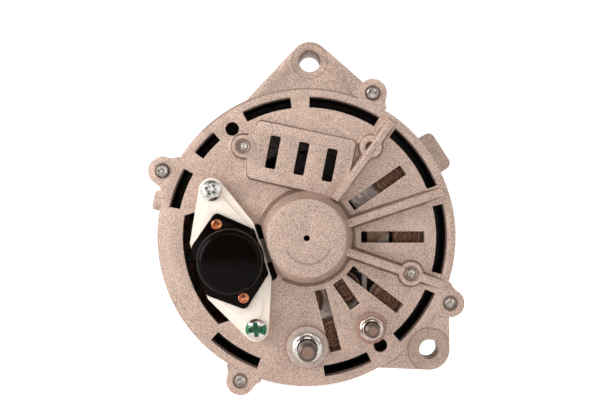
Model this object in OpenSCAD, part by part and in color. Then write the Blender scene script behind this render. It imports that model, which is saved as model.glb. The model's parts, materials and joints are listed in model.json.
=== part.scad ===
// Belt-driven claw-pole alternator, modelled as it comes apart on a bench.
// Every module draws in shaft coordinates: the shaft axis is Y, the outer face of the rear wall lies at y = 0,
// and depth y grows towards the pulley. A flat sketch shows the rear view: x to the right, z up.
// from_pivot() then moves the piece so that the origin is the rear mouth of the pivot bore.

/* [Housings] */
// Outside diameter of both housings
body_d = 128; // [124:1:134]
// Thickness of the rear wall
plate_t = 4; // [3:0.5:5]
// Thickness of the side walls
side_wall_t = 4; // [3:0.5:5]
// Depth of the rear housing from its outer face to the stator
rear_depth = 24; // [23:0.5:27]
// Depth of the front housing from the stator to its front face
front_depth = 29; // [28:0.5:33]
// Thickness of the front wall
front_wall_t = 4; // [3:0.5:5]
// How far each housing laps over the stator
rim_lap = 2.5; // [1.5:0.5:4]
// Wall of the housing outside the stator where it laps
lap_wall = 1.5; // [1.2:0.1:2]
// Diameter of the bearing boss at its outer face
boss_face_d = 33.2; // [31.6:0.2:33.6]
// Diameter of the bearing boss where it meets the rear wall
boss_base_d = 40.8; // [38:0.2:44]
// Height of the bearing boss above the rear wall
boss_h = 16; // [15:0.5:18]
// Thickness of the boss's end wall
boss_floor_t = 5; // [3.5:0.5:6]
// Diameter of the vent hole in the boss
boss_vent_d = 2.6; // [2:0.2:4]
// Width of the strengthening ribs
rib_w = 3.2; // [2.4:0.2:4.4]
// Height of the raised vent box
vent_box_h = 3; // [2:0.5:4]
// Diameter of the front bearing hub
hub_d = 57; // [55:1:60]

/* [Air slots] */
// Radius to the outer edge of the rim slots
rim_slot_r = 60.4; // [58.5:0.1:60.8]
// Width of the rim slots
rim_slot_w = 4.8; // [3:0.2:5.4]
// Width of the spoke slots over the diodes
spoke_slot_w = 4.9; // [3:0.1:5.5]
// Length of each slot in the vent box
box_slot_l = 14.2; // [10:0.2:15]
// Width of each slot in the vent box
box_slot_w = 4.5; // [3:0.5:5.5]
// Number of windows in the front wall
front_windows = 8; // [6:1:10]

/* [Fasteners and ears] */
// How far the circle of through bolts lies outside the housing
bolt_offset = 4; // [3.5:0.1:6]
// Diameter of the through bolts
bolt_d = 5; // [4:0.5:6]
// Radius of the through-bolt lugs
lug_r = 6.1; // [5.5:0.1:7]
// Bore of the upper pivot ear
pivot_bore_d = 10.2; // [8:0.1:12]
// Outer radius of the pivot ear
pivot_ear_r = 9; // [8:0.5:10.5]
// Height of the pivot bore above the shaft
pivot_height = 80.6; // [76:0.2:86]
// Bore of the lower adjuster ear
adjuster_bore_d = 8.4; // [6.4:0.1:10]
// Outer radius of the adjuster ear
adjuster_ear_r = 8.8; // [8:0.2:10]
// Thickness of the adjuster ear
adjuster_ear_t = 14.4; // [10:0.2:18]
// Thread of the output stud
output_stud_d = 8; // [6:1:8]
// How far the output stud stands out of the rear wall
output_stud_out = 21.5; // [18:0.5:26]
// Thread of the field stud
field_stud_d = 6; // [5:1:6]
// How far the field stud stands out of the rear wall
field_stud_out = 14.6; // [12:0.2:20]

/* [Stator and rotor] */
// Length of the laminated stator stack
stack_l = 22; // [20:1:24]
// Bore of the stator
stator_bore_d = 90.4; // [89.8:0.2:91.4]
// Number of stator slots
stator_slots = 36; // [24:12:36]
// Radius to the bottom of the stator slots
slot_bottom_r = 55; // [53:0.5:56]
// Outside diameter of the claw poles
rotor_d = 89.2; // [86:0.2:89.4]
// Length of the rotor over both pole pieces
pole_l = 36; // [34:1:37]
// Number of claws on each pole piece
claws = 6; // [5:1:7]
// Half width of a claw at its root
claw_root_w = 11.4; // [9:0.2:11.6]
// Half width of a claw at its tip
claw_tip_w = 5.6; // [4:0.2:6.4]
// Outside diameter of the field coil
coil_d = 68; // [60:1:70]
// Diameter of the slip rings
ring_d = 26; // [24:0.5:27]
// Width of each slip ring
ring_w = 4.6; // [4.4:0.1:5]

/* [Shaft and drive] */
// Shaft diameter under the fan and the pulley
drive_d = 17; // [15:1:18]
// Thread of the shaft end
shaft_thread_d = 16; // [12:1:16]
// Length of the shaft end in front of the pulley washer
shaft_end_l = 13.5; // [12:0.5:18]
// Bore, outside diameter and width of the rear bearing
rear_bearing = [10, 30, 9];
// Bore, outside diameter and width of the front bearing
front_bearing = [17, 40, 12];
// Length of the collar between the front bearing and the fan
collar_l = 14; // [13:0.5:18]
// Diameter over the fan blades
fan_d = 114; // [100:1:122]
// Number of fan blades
fan_blades = 11; // [8:1:13]
// Height of the fan blades
fan_blade_h = 10; // [6:0.5:11]
// Outside diameter of the pulley
pulley_d = 76; // [68:1:90]
// Width of the pulley
pulley_w = 18; // [17:0.5:24]
// Width of the belt groove at its mouth
groove_w = 12.6; // [10:0.2:14]
// Depth of the belt groove
groove_depth = 12; // [9:0.5:13]

/* [Regulator and brushes] */
// Distance between the two regulator screws
regulator_span = 61.8; // [60:0.2:64]
// Height of the brush holder's flange
holder_flange_t = 5.5; // [4:0.5:7]
// Diameter of the round regulator cap
cap_d = 28; // [24:0.5:29]
// Height of the round regulator cap
cap_h = 8.5; // [6:0.5:12]
// Length of a new brush
brush_l = 15; // [12:0.5:15]
// How far a brush can be pushed back into its holder
brush_travel = 5; // [3:0.5:5]

/* [Hidden] */
$fn = 96;

fit = 0.02;             // radial clearance of a press or location fit
running = 0.05;         // radial clearance of a running fit
hole_clear = 0.25;      // radial clearance of a screw in a plain hole
gap = 0.3;              // plain gap between pieces on different bodies
eps = 0.01;

body_r = body_d / 2;
core_r = body_r - lap_wall;
core_y0 = rear_depth;
core_y1 = core_y0 + stack_l;
mid_y = (core_y0 + core_y1) / 2;
rear_y1 = core_y0 + rim_lap;
front_y0 = core_y1 - rim_lap;
front_y1 = core_y1 + front_depth;
lug_pos_r = body_r + bolt_offset;
bolt_angles = [65.3, 155.3, 245.3, 335.3];
bolt_tips = [1.8, 1.6, -0.5, -0.4];     // how far each bolt end stands out of the rear wall
lug_front_l = 15;
bolt_sink = 0.6;            // countersink round each bolt end
bolt_head_t = 3.5;
bolt_head_af = 8;
bolt_pocket_r = 5.5;        // room for a bolt head and its washer beside the wall
lug_blend_r = 6.5;
stop_angle = 32.5;          // where the front housing carries its cast stop

pivot_pos = [1.7, pivot_height];
pivot_y0 = front_y0 + 1.5;
pivot_web_t = 9;
pivot_neck_w = 7.4;         // half width of the neck below the pivot barrel
pivot_barrel_l = front_y1 - pivot_y0 - 1;
adjuster_pos = [52.8, -48.4];
adjuster_y0 = 1.2;
spot_face = 0.3;            // depth of the milled face round the adjuster bore
rib_end_h = 2.4;            // height of the ribs at the rim

// rear bearing in its boss and front bearing in its hub
rear_brg_y = -boss_h + boss_floor_t;
rear_brg_y1 = rear_brg_y + rear_bearing[2];
front_brg_y = front_y1 - front_bearing[2];
hub_lip_t = 2;
hub_y1 = front_y1 + hub_lip_t;
retainer_t = 2.2;
retainer_pos_r = 24.2;
retainer_screw_d = 4;
screw_head_t = 2.4;

rotor_r = rotor_d / 2;
pole_y0 = mid_y - pole_l / 2;
pole_y1 = mid_y + pole_l / 2;
pole_plate_t = 10;
pole_hub_r = 19;
core_shaft_r = 9;
coil_wall = 1.2;
coil_room = 2.2;            // room between the coil and the claw roots

// slip rings, counted from the rear pole piece
ring_gap = 1.3;
ring_tail = 1.5;
ring2_y = pole_y0 - ring_tail - ring_w;
ring1_y = ring2_y - ring_gap - ring_w;
ring_mid = [ring1_y + ring_w / 2, ring2_y + ring_w / 2];
carrier_y0 = ring1_y - 1.2;
carrier_r = ring_d / 2 - 1.8;
ring_seat_r = 7;

collar_y1 = front_y1 + collar_l;
fan_t = 2;
fan_y1 = collar_y1 + fan_t;
pulley_hub_l = pulley_w + 2;
pulley_y1 = fan_y1 + pulley_hub_l;
groove_y = fan_y1 + 1 + pulley_w / 2;
washer_t = 2.6;
nut_af = 24;
nut_h = 10;
shaft_y1 = pulley_y1 + washer_t + shaft_end_l;

// rectifier, between the rear wall and the rotor
sink_y0 = plate_t + 3;
sink_t = 3;
sink_y1 = sink_y0 + sink_t;
diode_r = 6.4;
diode_h = 5.2;
diode_y0 = sink_y0 - 0.6;
diode_pos_r = 43.7;
inner_diode_r = 27.5;
frame_y0 = sink_y1 + 3.4;
frame_t = 1.9;
negative_angles = [35, 0, -37.3];
positive_places = [[diode_pos_r, -75], [inner_diode_r, -55], [inner_diode_r, -90]];
exciter_angles = [-26, -12, 12];
exciter_pos_r = 31;
bus_y0 = sink_y0 + 0.4;
bus_t = 1.2;
rectifier_places = [[47.2, -19.3], [47.4, 54.7], [47.4, 124.9]];
rectifier_tips = [2.6, -6.2, 2.6];      // how far each screw end stands out of the rear wall
rectifier_screw_d = 4;
slot_corner_r = 0.8;        // corners of the slots in the vent box
boss_out_h = 3.4;
boss_out_r = [5, 4.7, 4.7];
boss_sink_r = 2.75;         // mouth of the countersink round each rectifier screw end
output_pos = [0.3, -47.1];
field_pos = [27.7, -39];
output_flange = 0.8;
output_washer_t = 1.6;
output_nut_h = 6.5;
field_flange = 1.8;
field_nut_h = 5;
output_nut_y = -output_flange - output_washer_t - output_nut_h;
field_nut_y = -field_flange - field_nut_h;
stud_relief = 0.6;          // depth of the thread inside a terminal nut
output_tip = 1.2;           // chamfers of the stud tips
field_tip = 0.65;

// regulator frame: u points at the shaft, v along the line of the two screws
regulator_angle = 18;
regulator_u = -33.8;
regulator_v = 0.5;
half_span = regulator_span / 2;
screw_u = 1.4;
holder_end_r = 5.4;
screw_seat_r = 5;
pad_h = 0.7;                // height of the pad above the flange's outer band
holder_u = [-14.2, 14.2];
holder_v = 12.4;
opening_outer_r = 53.2;
opening_inner = 17;
opening_step = 37;
opening_v = [-24, 25];
brush_opening_v = [-13.2, 12];
opening_corner_r = 2;
plate_h = 2;
regulator_screw_d = 4;
channel_y = 4.4;
channel_t = 6.6;
brush_y = 4.2;
brush_t = 6.4;
box_half_t = 5.2;
box_wall = 0.75;
box_y1 = ring_mid[1] + channel_y / 2 + box_wall;
contact_gap = 0.15;
brush_r0 = ring_d / 2 + contact_gap;
brush_r1 = brush_r0 + brush_l;
channel_end_r = brush_r1 + brush_travel + 3.6;
spring_r = 1.9;
spring_wire = 0.5;
spring_turns = 6;

function polar(r, a) = [r * cos(a), r * sin(a)];
function outward(a, b) = let (d = (b - a) / norm(b - a)) [d[1], -d[0]];
// points where the outer tangent of two circles touches them: side 1 or -1 of the line from a to b
function tangent_on_a(a, ra, b, rb, side) = let (d = b - a, t = atan2(d[1], d[0]), c = acos((ra - rb) / norm(d)))
    a + polar(ra, t + side * c);
function tangent_on_b(a, ra, b, rb, side) = let (d = b - a, t = atan2(d[1], d[0]), c = acos((ra - rb) / norm(d)))
    b + polar(rb, t + side * c);
// centre of the fillet circle of radius f between the body circle and a circle of radius r at distance d
function blend_centre(body, d, r, f) = let (p = body + f, q = r + f, x = (p * p - q * q + d * d) / (2 * d))
    [x, sqrt(p * p - x * x)];

module from_pivot() translate([-pivot_pos[0], -pivot_y0, -pivot_pos[1]]) children();
// extrudes a rear-view sketch between two depths
module slab(y0, y1) rotate([90, 0, 0]) translate([0, 0, -y1]) linear_extrude(y1 - y0) children();
// revolves points [radius, depth] about the shaft
module turned(points) rotate([-90, 0, 0]) rotate_extrude() polygon(points);
module turned_arc(points, a0, a1) spin(a1) rotate([-90, 0, 0]) rotate_extrude(angle = a1 - a0) polygon(points);
module spin(a) rotate([0, -a, 0]) children();
module rod(p, y0, y1, r) translate([p[0], y0, p[1]]) rotate([-90, 0, 0]) cylinder(r = r, h = y1 - y0);
// radial plate of width w with the side profile [radius, depth]
module fin(a, w) spin(a) linear_extrude(w, center = true) children();
module ring2d(r0, r1) difference() { circle(r1); circle(r0); }
module wedge(r, a0, a1, steps = 6)
    polygon(concat([[0, 0]], [for (i = [0:steps]) polar(r * 1.5, a0 + (a1 - a0) * i / steps)]));
module sector(r0, r1, a0, a1) intersection() { ring2d(r0, r1); wedge(r1, a0, a1); }
module link(a, ra, b, rb) {
    polygon([tangent_on_a(a, ra, b, rb, 1), tangent_on_a(a, ra, b, rb, -1),
             tangent_on_b(a, ra, b, rb, -1), tangent_on_b(a, ra, b, rb, 1)]);
    translate(a) circle(max(ra, eps));
    translate(b) circle(max(rb, eps));
}
module rounded(centres, r) {
    n = len(centres);
    polygon([for (i = [0:n - 1]) let (a = centres[i], b = centres[(i + 1) % n]) for (c = [a, b]) c + r * outward(a, b)]);
    for (c = centres) translate(c) circle(r);
}
// outline whose corners are eased over the distance t
function eased(points, t) = let (n = len(points)) [for (i = [0:n - 1]) let (b = points[i],
    a = b + (points[(i + n - 1) % n] - b) / norm(points[(i + n - 1) % n] - b) * t,
    c = b + (points[(i + 1) % n] - b) / norm(points[(i + 1) % n] - b) * t)
    for (k = [0:0.25:1]) a * (1 - k) * (1 - k) + b * 2 * k * (1 - k) + c * k * k];
module bar2d(r0, r1, w, a) rotate(a) translate([r0, -w / 2]) square([r1 - r0, w]);
module at_regulator() rotate(regulator_angle) translate([regulator_u, regulator_v]) children();
function regulator_point(u, v) = let (x = u + regulator_u, z = v + regulator_v, a = regulator_angle)
    [x * cos(a) - z * sin(a), x * sin(a) + z * cos(a)];
regulator_screws_at = [regulator_point(screw_u, half_span), regulator_point(screw_u, -half_span)];
rivets_at = [regulator_point(-0.6, 16.4), regulator_point(0.6, -16.4)];
rivet_r = 1.5;
rivet_head_r = 2.4;

// lug with concave blends into the round body
module lug2d(a, r) rotate(a) {
    f = blend_centre(body_r, lug_pos_r, r, lug_blend_r);
    translate([lug_pos_r, 0]) circle(r);
    for (s = [1, -1]) difference() {
        polygon([[body_r - 8, 0], [lug_pos_r, 0], [f[0], s * f[1]]]);
        translate([f[0], s * f[1]]) circle(lug_blend_r);
    }
}
module body2d() {
    circle(body_r);
    for (a = bolt_angles) lug2d(a, lug_r);
}
module adjuster2d() {
    lug = polar(lug_pos_r, bolt_angles[3]);
    link(adjuster_pos, adjuster_ear_r, lug - [6, 2], lug_r - 0.5);
    corner = [30.8, -56.2];
    polygon([corner, [0, 0], adjuster_pos, [adjuster_pos[0], adjuster_pos[1] - adjuster_ear_r]]);
}

module spoke_slots2d() {
    for (a = [34.8, 0, -37.5, -75.6]) bar2d(23.4, 50.6, spoke_slot_w, a);
    bar2d(23.2, 36.4, spoke_slot_w, -55.1);
}
module rim_slots2d() {
    for (s = [[58.6, 88.8], [21.6, 50.7], [-15.5, 13.7], [-48.2, -23.7], [-82.5, -62.4], [227.1, 249.4],
              [150.8, 167.6], [131.7, 142.9], [96.6, 117.2]])
        sector(rim_slot_r - rim_slot_w, rim_slot_r, s[0], s[1]);
    for (a = [124.5, -55.7]) translate(polar(56.3, a)) circle(2.95);
}
// opening under the regulator: a wide outer part and a narrower part that reaches the boss
module regulator_opening2d() intersection() {
    circle(opening_outer_r);
    rotate(regulator_angle) translate([-opening_outer_r - 1, opening_v[0]])
        square([opening_outer_r + 1 - opening_step, opening_v[1] - opening_v[0]]);
}
module brush_opening2d() rotate(regulator_angle) rounded([for (c = [[-1, 0], [1, 0], [1, 1], [-1, 1]])
    [c[0] < 0 ? -opening_step - 3 : -opening_inner - opening_corner_r,
     c[1] > 0 ? brush_opening_v[1] - opening_corner_r : brush_opening_v[0] + opening_corner_r]], opening_corner_r);
module vent_box2d() {
    polygon(eased([[12, 15.4], [15.7, 18.4], [17.9, 24.9], [21.2, 41], [-20.6, 49.9], [-22.9, 43.8], [-25.3, 34],
        [-25.3, 25.6], [-7.4, 21.5], [0.2, 19.9]], 1.9));
    boss = polar(rectifier_places[2][0], rectifier_places[2][1]);
    link(boss, boss_out_r[2] - 0.4, boss + [6, -0.6], 6);
}
module vent_box_slots2d() for (c = [[-14.4, 36.3], [-2.2, 33.6], [9.9, 30.8]])
    translate(c) rotate(-11.3) let (w = box_slot_w / 2 - slot_corner_r, l = box_slot_l / 2 - slot_corner_r)
        rounded([[-w, -l], [w, -l], [w, l], [-w, l]], slot_corner_r);
// rib falling from height h0 at the boss to h1 at the rim
module rib(a, r0, r1, h0, h1) fin(a, rib_w) polygon([[r0, eps], [r1, eps], [r1, -h1], [r0, -h0]]);

module rear_housing() color("#c4aa9c") from_pivot() difference() {
    brg_r = rear_bearing[1] / 2 + fit;
    union() {
        slab(0, plate_t) body2d();
        slab(plate_t - eps, core_y0) difference() {
            body2d();
            circle(body_r - side_wall_t);
        }
        slab(core_y0 - eps, rear_y1) difference() {
            body2d();
            circle(core_r + fit);
        }
        slab(adjuster_y0, adjuster_y0 + adjuster_ear_t) difference() {
            adjuster2d();
            circle(body_r - side_wall_t + 1);
        }
        turned([[0, -boss_h], [boss_face_d / 2 - 0.4, -boss_h], [boss_face_d / 2, -boss_h + 0.4],
                [boss_base_d / 2, eps], [boss_base_d / 2, plate_t], [0, plate_t]]);
        slab(-vent_box_h, eps) vent_box2d();
        rib(18.5, 14, 61.5, 8, rib_end_h);
        rib(-19.3, 14, 62.6, 8, rib_end_h);
        rib(53.6, 20, 61.5, 6, rib_end_h);
        for (i = [0:2]) let (p = polar(rectifier_places[i][0], rectifier_places[i][1])) {
            rod(p, -boss_out_h, eps, boss_out_r[i]);
            rod(p, plate_t - eps, sink_y0, 4.8);
        }
        for (p = regulator_screws_at) rod(p, plate_t - eps, plate_t + 4, 4.4);
    }
    slab(-1, plate_t + 1) {
        spoke_slots2d();
        rim_slots2d();
    }
    slab(-1, plate_t + 1) regulator_opening2d();
    slab(-boss_h - 1, plate_t + 1) brush_opening2d();
    slab(-vent_box_h - 1, plate_t + 1) vent_box_slots2d();
    rod([0, 0], rear_brg_y, plate_t + 1, brg_r);
    rod([0, 0], -boss_h + 1.8, rear_brg_y + 1, rear_bearing[0] / 2 + 1.5);
    rod([0, 0], -boss_h - 1, -boss_h + 3, boss_vent_d / 2);
    for (a = bolt_angles) rod(polar(lug_pos_r, a), -rib_end_h - 1, rear_y1 + 1, bolt_d / 2 + fit);
    for (a = bolt_angles) translate([polar(lug_pos_r, a)[0], 0, polar(lug_pos_r, a)[1]])
        turned([[0, -1], [bolt_d / 2 + bolt_sink + 1, -1], [0, bolt_d / 2 + bolt_sink]]);
    for (p = rectifier_places) rod(polar(p[0], p[1]), -boss_out_h - 1, sink_y0 + 1, rectifier_screw_d / 2 + fit);
    for (p = rectifier_places) translate([polar(p[0], p[1])[0], -boss_out_h, polar(p[0], p[1])[1]])
        turned([[0, -1], [boss_sink_r + 1, -1], [0, boss_sink_r]]);
    for (p = regulator_screws_at) rod(p, -1, plate_t + 5, regulator_screw_d / 2 + fit);
    rod(adjuster_pos, -1, adjuster_y0 + adjuster_ear_t + 1, adjuster_bore_d / 2);
    rod(adjuster_pos, -1, adjuster_y0 + spot_face, adjuster_ear_r + 1);
    rod(output_pos, -1, plate_t + 1, output_stud_d / 2 + 1.3 + fit);
    rod(field_pos, -1, plate_t + 1, field_stud_d / 2 + 1.2 + fit);
}

module front_housing() color("#c4aa9c") from_pivot() difference() {
    shoulder = 7;
    wall_r = body_r - side_wall_t;
    union() {
        turned([[core_r - 8, front_y0], [body_r, front_y0], [body_r, front_y1 - shoulder],
                [body_r - shoulder, front_y1], [0, front_y1], [0, front_y1 - front_wall_t - 2],
                [core_r - 8, front_y1 - front_wall_t - 2]]);
        slab(front_y0, front_y0 + lug_front_l) difference() {
            body2d();
            circle(body_r - 2);
        }
        rod([0, 0], front_brg_y, hub_y1, hub_d / 2);
        slab(pivot_y0, pivot_y0 + pivot_web_t) difference() {
            union() {
                link(pivot_pos, pivot_ear_r, [0, 0], body_r - 1);
                link(pivot_pos, pivot_ear_r, polar(lug_pos_r, bolt_angles[0]), lug_r - 0.6);
            }
            circle(body_r - 2);
        }
        slab(pivot_y0 + 2, pivot_y0 + pivot_barrel_l) difference() {
            union() {
                translate(pivot_pos) circle(pivot_ear_r - 0.7);
                translate([pivot_pos[0], 0]) polygon([[-pivot_neck_w, pivot_pos[1]], [pivot_neck_w, pivot_pos[1]],
                    [pivot_neck_w + 2, body_r - 12], [-pivot_neck_w - 2, body_r - 12]]);
            }
            circle(body_r - 5);
        }
        slab(front_y0, front_y0 + 16) rotate(stop_angle) rounded([[body_r - 6, -6.4], [71.6, -6.4], [71.6, 6.4],
            [body_r - 6, 6.4]], 3);
        slab(front_y0, front_y0 + 9) rotate(167) rounded([[body_r - 6, -3], [71, -3], [71, 3], [body_r - 6, 3]], 1.6);
    }
    turned([[0, front_y0 - 1], [core_r + fit, front_y0 - 1], [core_r + fit, core_y1], [wall_r, core_y1],
            [wall_r, front_y1 - shoulder - 1], [wall_r - shoulder + 1, front_y1 - front_wall_t],
            [hub_d / 2, front_y1 - front_wall_t], [hub_d / 2, front_brg_y], [0, front_brg_y]]);
    rod([0, 0], front_brg_y - 1, front_y1, front_bearing[1] / 2 + fit);
    rod([0, 0], front_y1 - 1, hub_y1 + 1, front_bearing[1] / 2 - 4);
    slab(front_y1 - front_wall_t - 3, front_y1 + 1)
        for (i = [0:front_windows - 1]) rotate(i * 360 / front_windows + 22.5)
            sector(hub_d / 2 + 3, body_r - shoulder - 2.5, -12, 12);
    for (q = [0:3], k = [-1, 0, 1]) let (a = bolt_angles[q] - 45 + k * 20) if (abs(a - stop_angle) > 16) spin(a)
        translate([body_r - 10, core_y1 + 6.5, 0]) rotate([0, 90, 0])
        linear_extrude(side_wall_t + 10) rounded([[-4.4, -1.5], [4.4, -1.5], [4.4, 7], [-4.4, 7]], 1.8);
    for (a = bolt_angles) rod(polar(lug_pos_r, a), front_y0 - 1, front_y0 + lug_front_l + 1, bolt_d / 2 + hole_clear);
    for (a = bolt_angles) rod(polar(lug_pos_r, a), front_y0 + lug_front_l, front_y1 + 1, bolt_pocket_r);
    for (a = [90, 210, 330]) rod(polar(retainer_pos_r, a), front_brg_y - 1, front_brg_y + 9, retainer_screw_d / 2 + fit);
    rod(pivot_pos, pivot_y0 - 1, pivot_y0 + pivot_barrel_l + 1, pivot_bore_d / 2);
}

module slots2d(r0, r1, w) for (i = [0:stator_slots - 1]) bar2d(r0, r1, w, (i + 0.5) * 360 / stator_slots);
slot_w = 151.2 / stator_slots;
module stator_core() color("#6d6a68") from_pivot() slab(core_y0, core_y1) difference() {
    circle(core_r);
    circle(stator_bore_d / 2);
    slots2d(stator_bore_d / 2 + 1.4, slot_bottom_r, slot_w);
    slots2d(stator_bore_d / 2 - 1, stator_bore_d / 2 + 2, slot_w / 2);
}

// wave winding: a bar in each slot, joined over each end by three nested sets of arcs
module stator_winding() color("#b4602f") from_pivot() {
    bar_r = [stator_bore_d / 2 + 1.7, slot_bottom_r - 0.3];
    pitch = 360 / stator_slots;
    layer = (bar_r[1] - bar_r[0]) / 3;
    coil_h = 6;
    slab(core_y0 - 1, core_y1 + 1) slots2d(bar_r[0], bar_r[1], slot_w - 0.4);
    for (end = [0, 1], p = [0:2], k = [0:stator_slots / 6 - 1]) {
        r0 = bar_r[0] + p * layer + 0.15;
        r1 = r0 + layer - 0.3;
        y0 = end == 0 ? core_y0 - 1 - coil_h : core_y1 + 1 - eps;
        y1 = y0 + coil_h + eps;
        rise = end == 0 ? 1 : -1;
        a0 = (p + 6 * k + 3 * end + 0.25) * pitch;
        low = end == 0 ? y0 : y1;
        turned_arc([[r0, y0 + (1 + rise) / 2], [r0, y1 - (1 - rise) / 2], [r0 + 0.8, y1 - (1 - rise) / 2 + (1 - rise) / 2],
                    [r1 - 0.8, y1], [r1, y1 - (1 - rise) / 2], [r1, y0 + (1 + rise) / 2], [r1 - 0.8, y0], [r0 + 0.8, y0]],
                   a0, a0 + 3.5 * pitch);
    }
    for (a = [64, 84, 104]) {
        lead_r = 0.9;
        lead_y = frame_y0 + frame_t / 2;
        out_r = slot_bottom_r - 6;
        rod(polar(out_r, a), lead_y, core_y0 - 4, lead_r);
    }
}

module through_bolts() color("#b9b4ae") from_pivot() for (i = [0:3]) {
    p = polar(lug_pos_r, bolt_angles[i]);
    head_y = front_y0 + lug_front_l;
    rod(p, -bolt_tips[i], head_y, bolt_d / 2);
    slab(head_y, head_y + 1) translate(p) circle(bolt_d / 2 + 2.6);
    slab(head_y + 1 - eps, head_y + 1 + bolt_head_t) translate(p) rotate(bolt_angles[i])
        circle(bolt_head_af / 2 / cos(30), $fn = 6);
}

key_y = [fan_y1 + 4, fan_y1 + 16];
module rotor_shaft() color("#a9a6a2") from_pivot() difference() {
    turned([[0, rear_brg_y - 1.2], [rear_bearing[0] / 2 - 0.8, rear_brg_y - 1.2], [rear_bearing[0] / 2, rear_brg_y - 0.4],
            [rear_bearing[0] / 2, rear_brg_y1], [ring_seat_r, rear_brg_y1], [ring_seat_r, pole_y0],
            [core_shaft_r, pole_y0], [core_shaft_r, pole_y1], [core_shaft_r + 2.5, pole_y1],
            [core_shaft_r + 2.5, front_brg_y - retainer_t], [front_bearing[0] / 2 + 2, front_brg_y - retainer_t + 0.5],
            [front_bearing[0] / 2 + 2, front_brg_y], [drive_d / 2, front_brg_y],
            [drive_d / 2, pulley_y1 - 1], [shaft_thread_d / 2, pulley_y1 - 1],
            [shaft_thread_d / 2, shaft_y1 - 1.2], [shaft_thread_d / 2 - 1.2, shaft_y1], [0, shaft_y1]]);
    translate([-2, key_y[0], drive_d / 2 - 3]) cube([4, key_y[1] - key_y[0], 10]);
    translate([0, rear_brg_y - 1.2, 0]) turned([[0, -1], [1.6, -1], [1.6, 2.4], [0, 3.6]]);
    translate([0, shaft_y1, 0]) turned([[0, 1], [3, 1], [1.2, -0.8], [1.2, -4], [0, -5]]);
}
module woodruff_key() color("#8d8a86") from_pivot()
    translate([-1.98, key_y[0] + 0.05, drive_d / 2 - 2.95]) cube([3.96, key_y[1] - key_y[0] - 0.1, 5.2]);

// one pole piece at the rear: a notched disc, half of the core and the tapered claws
module claw_pole() {
    tip_y = pole_y1 - 1.6;
    plate_y1 = pole_y0 + pole_plate_t;
    difference() {
        union() {
            slab(pole_y0, plate_y1) circle(coil_d / 2);
            rod([0, 0], pole_y0, mid_y, pole_hub_r);
            for (i = [0:claws - 1]) spin(i * 360 / claws) intersection() {
                turned([[coil_d / 2 - 6, pole_y0], [rotor_r - 2, pole_y0], [rotor_r, pole_y0 + 2], [rotor_r, tip_y],
                        [rotor_r - 4.2, tip_y], [coil_d / 2 + coil_room, plate_y1], [coil_d / 2 - 6, plate_y1]]);
                rotate([0, 90, 0]) linear_extrude(body_r)
                    polygon([[-claw_root_w, pole_y0], [claw_root_w, pole_y0], [claw_root_w, pole_y0 + 6],
                             [claw_tip_w, tip_y], [-claw_tip_w, tip_y], [-claw_root_w, pole_y0 + 6]]);
            }
        }
        rod([0, 0], pole_y0 - 1, mid_y + 1, core_shaft_r + fit);
    }
}
module rear_claw_pole() color("#7a7672") from_pivot() claw_pole();
module front_claw_pole() color("#7a7672") from_pivot() spin(180 / claws)
    translate([0, 2 * mid_y, 0]) mirror([0, 1, 0]) claw_pole();
module coil_bobbin() color("#d9c9a0") from_pivot() turned([[pole_hub_r + fit, pole_y0 + pole_plate_t + fit],
    [coil_d / 2 + 0.8, pole_y0 + pole_plate_t + fit], [coil_d / 2 + 0.8, pole_y0 + pole_plate_t + coil_wall],
    [pole_hub_r + coil_wall, pole_y0 + pole_plate_t + coil_wall], [pole_hub_r + coil_wall, pole_y1 - pole_plate_t - coil_wall],
    [coil_d / 2 + 0.8, pole_y1 - pole_plate_t - coil_wall], [coil_d / 2 + 0.8, pole_y1 - pole_plate_t - fit],
    [pole_hub_r + fit, pole_y1 - pole_plate_t - fit]]);
module field_coil() color("#9a4a22") from_pivot() {
    c0 = pole_y0 + pole_plate_t + coil_wall + fit;
    c1 = pole_y1 - pole_plate_t - coil_wall - fit;
    turned([[pole_hub_r + coil_wall + fit, c0], [coil_d / 2 - 0.8, c0], [coil_d / 2, c0 + 1],
            [coil_d / 2, c1 - 1], [coil_d / 2 - 0.8, c1], [pole_hub_r + coil_wall + fit, c1]]);
}

module slip_ring_carrier() color("#2b2521") from_pivot() {
    r1 = ring_d / 2 - 0.5;
    turned([[ring_seat_r + fit, carrier_y0], [r1, carrier_y0], [r1, ring1_y - fit], [carrier_r, ring1_y - fit],
            [carrier_r, ring1_y + ring_w + fit], [r1, ring1_y + ring_w + fit], [r1, ring2_y - fit],
            [carrier_r, ring2_y - fit], [carrier_r, ring2_y + ring_w + fit], [r1, ring2_y + ring_w + fit],
            [r1, pole_y0 - 0.3], [ring_seat_r + fit, pole_y0 - 0.3]]);
}
module slip_rings() color("#c07a45") from_pivot() for (y = [ring1_y, ring2_y])
    turned([[carrier_r + fit, y], [ring_d / 2 - 0.3, y], [ring_d / 2, y + 0.3], [ring_d / 2, y + ring_w - 0.3],
            [ring_d / 2 - 0.3, y + ring_w], [carrier_r + fit, y + ring_w]]);

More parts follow.
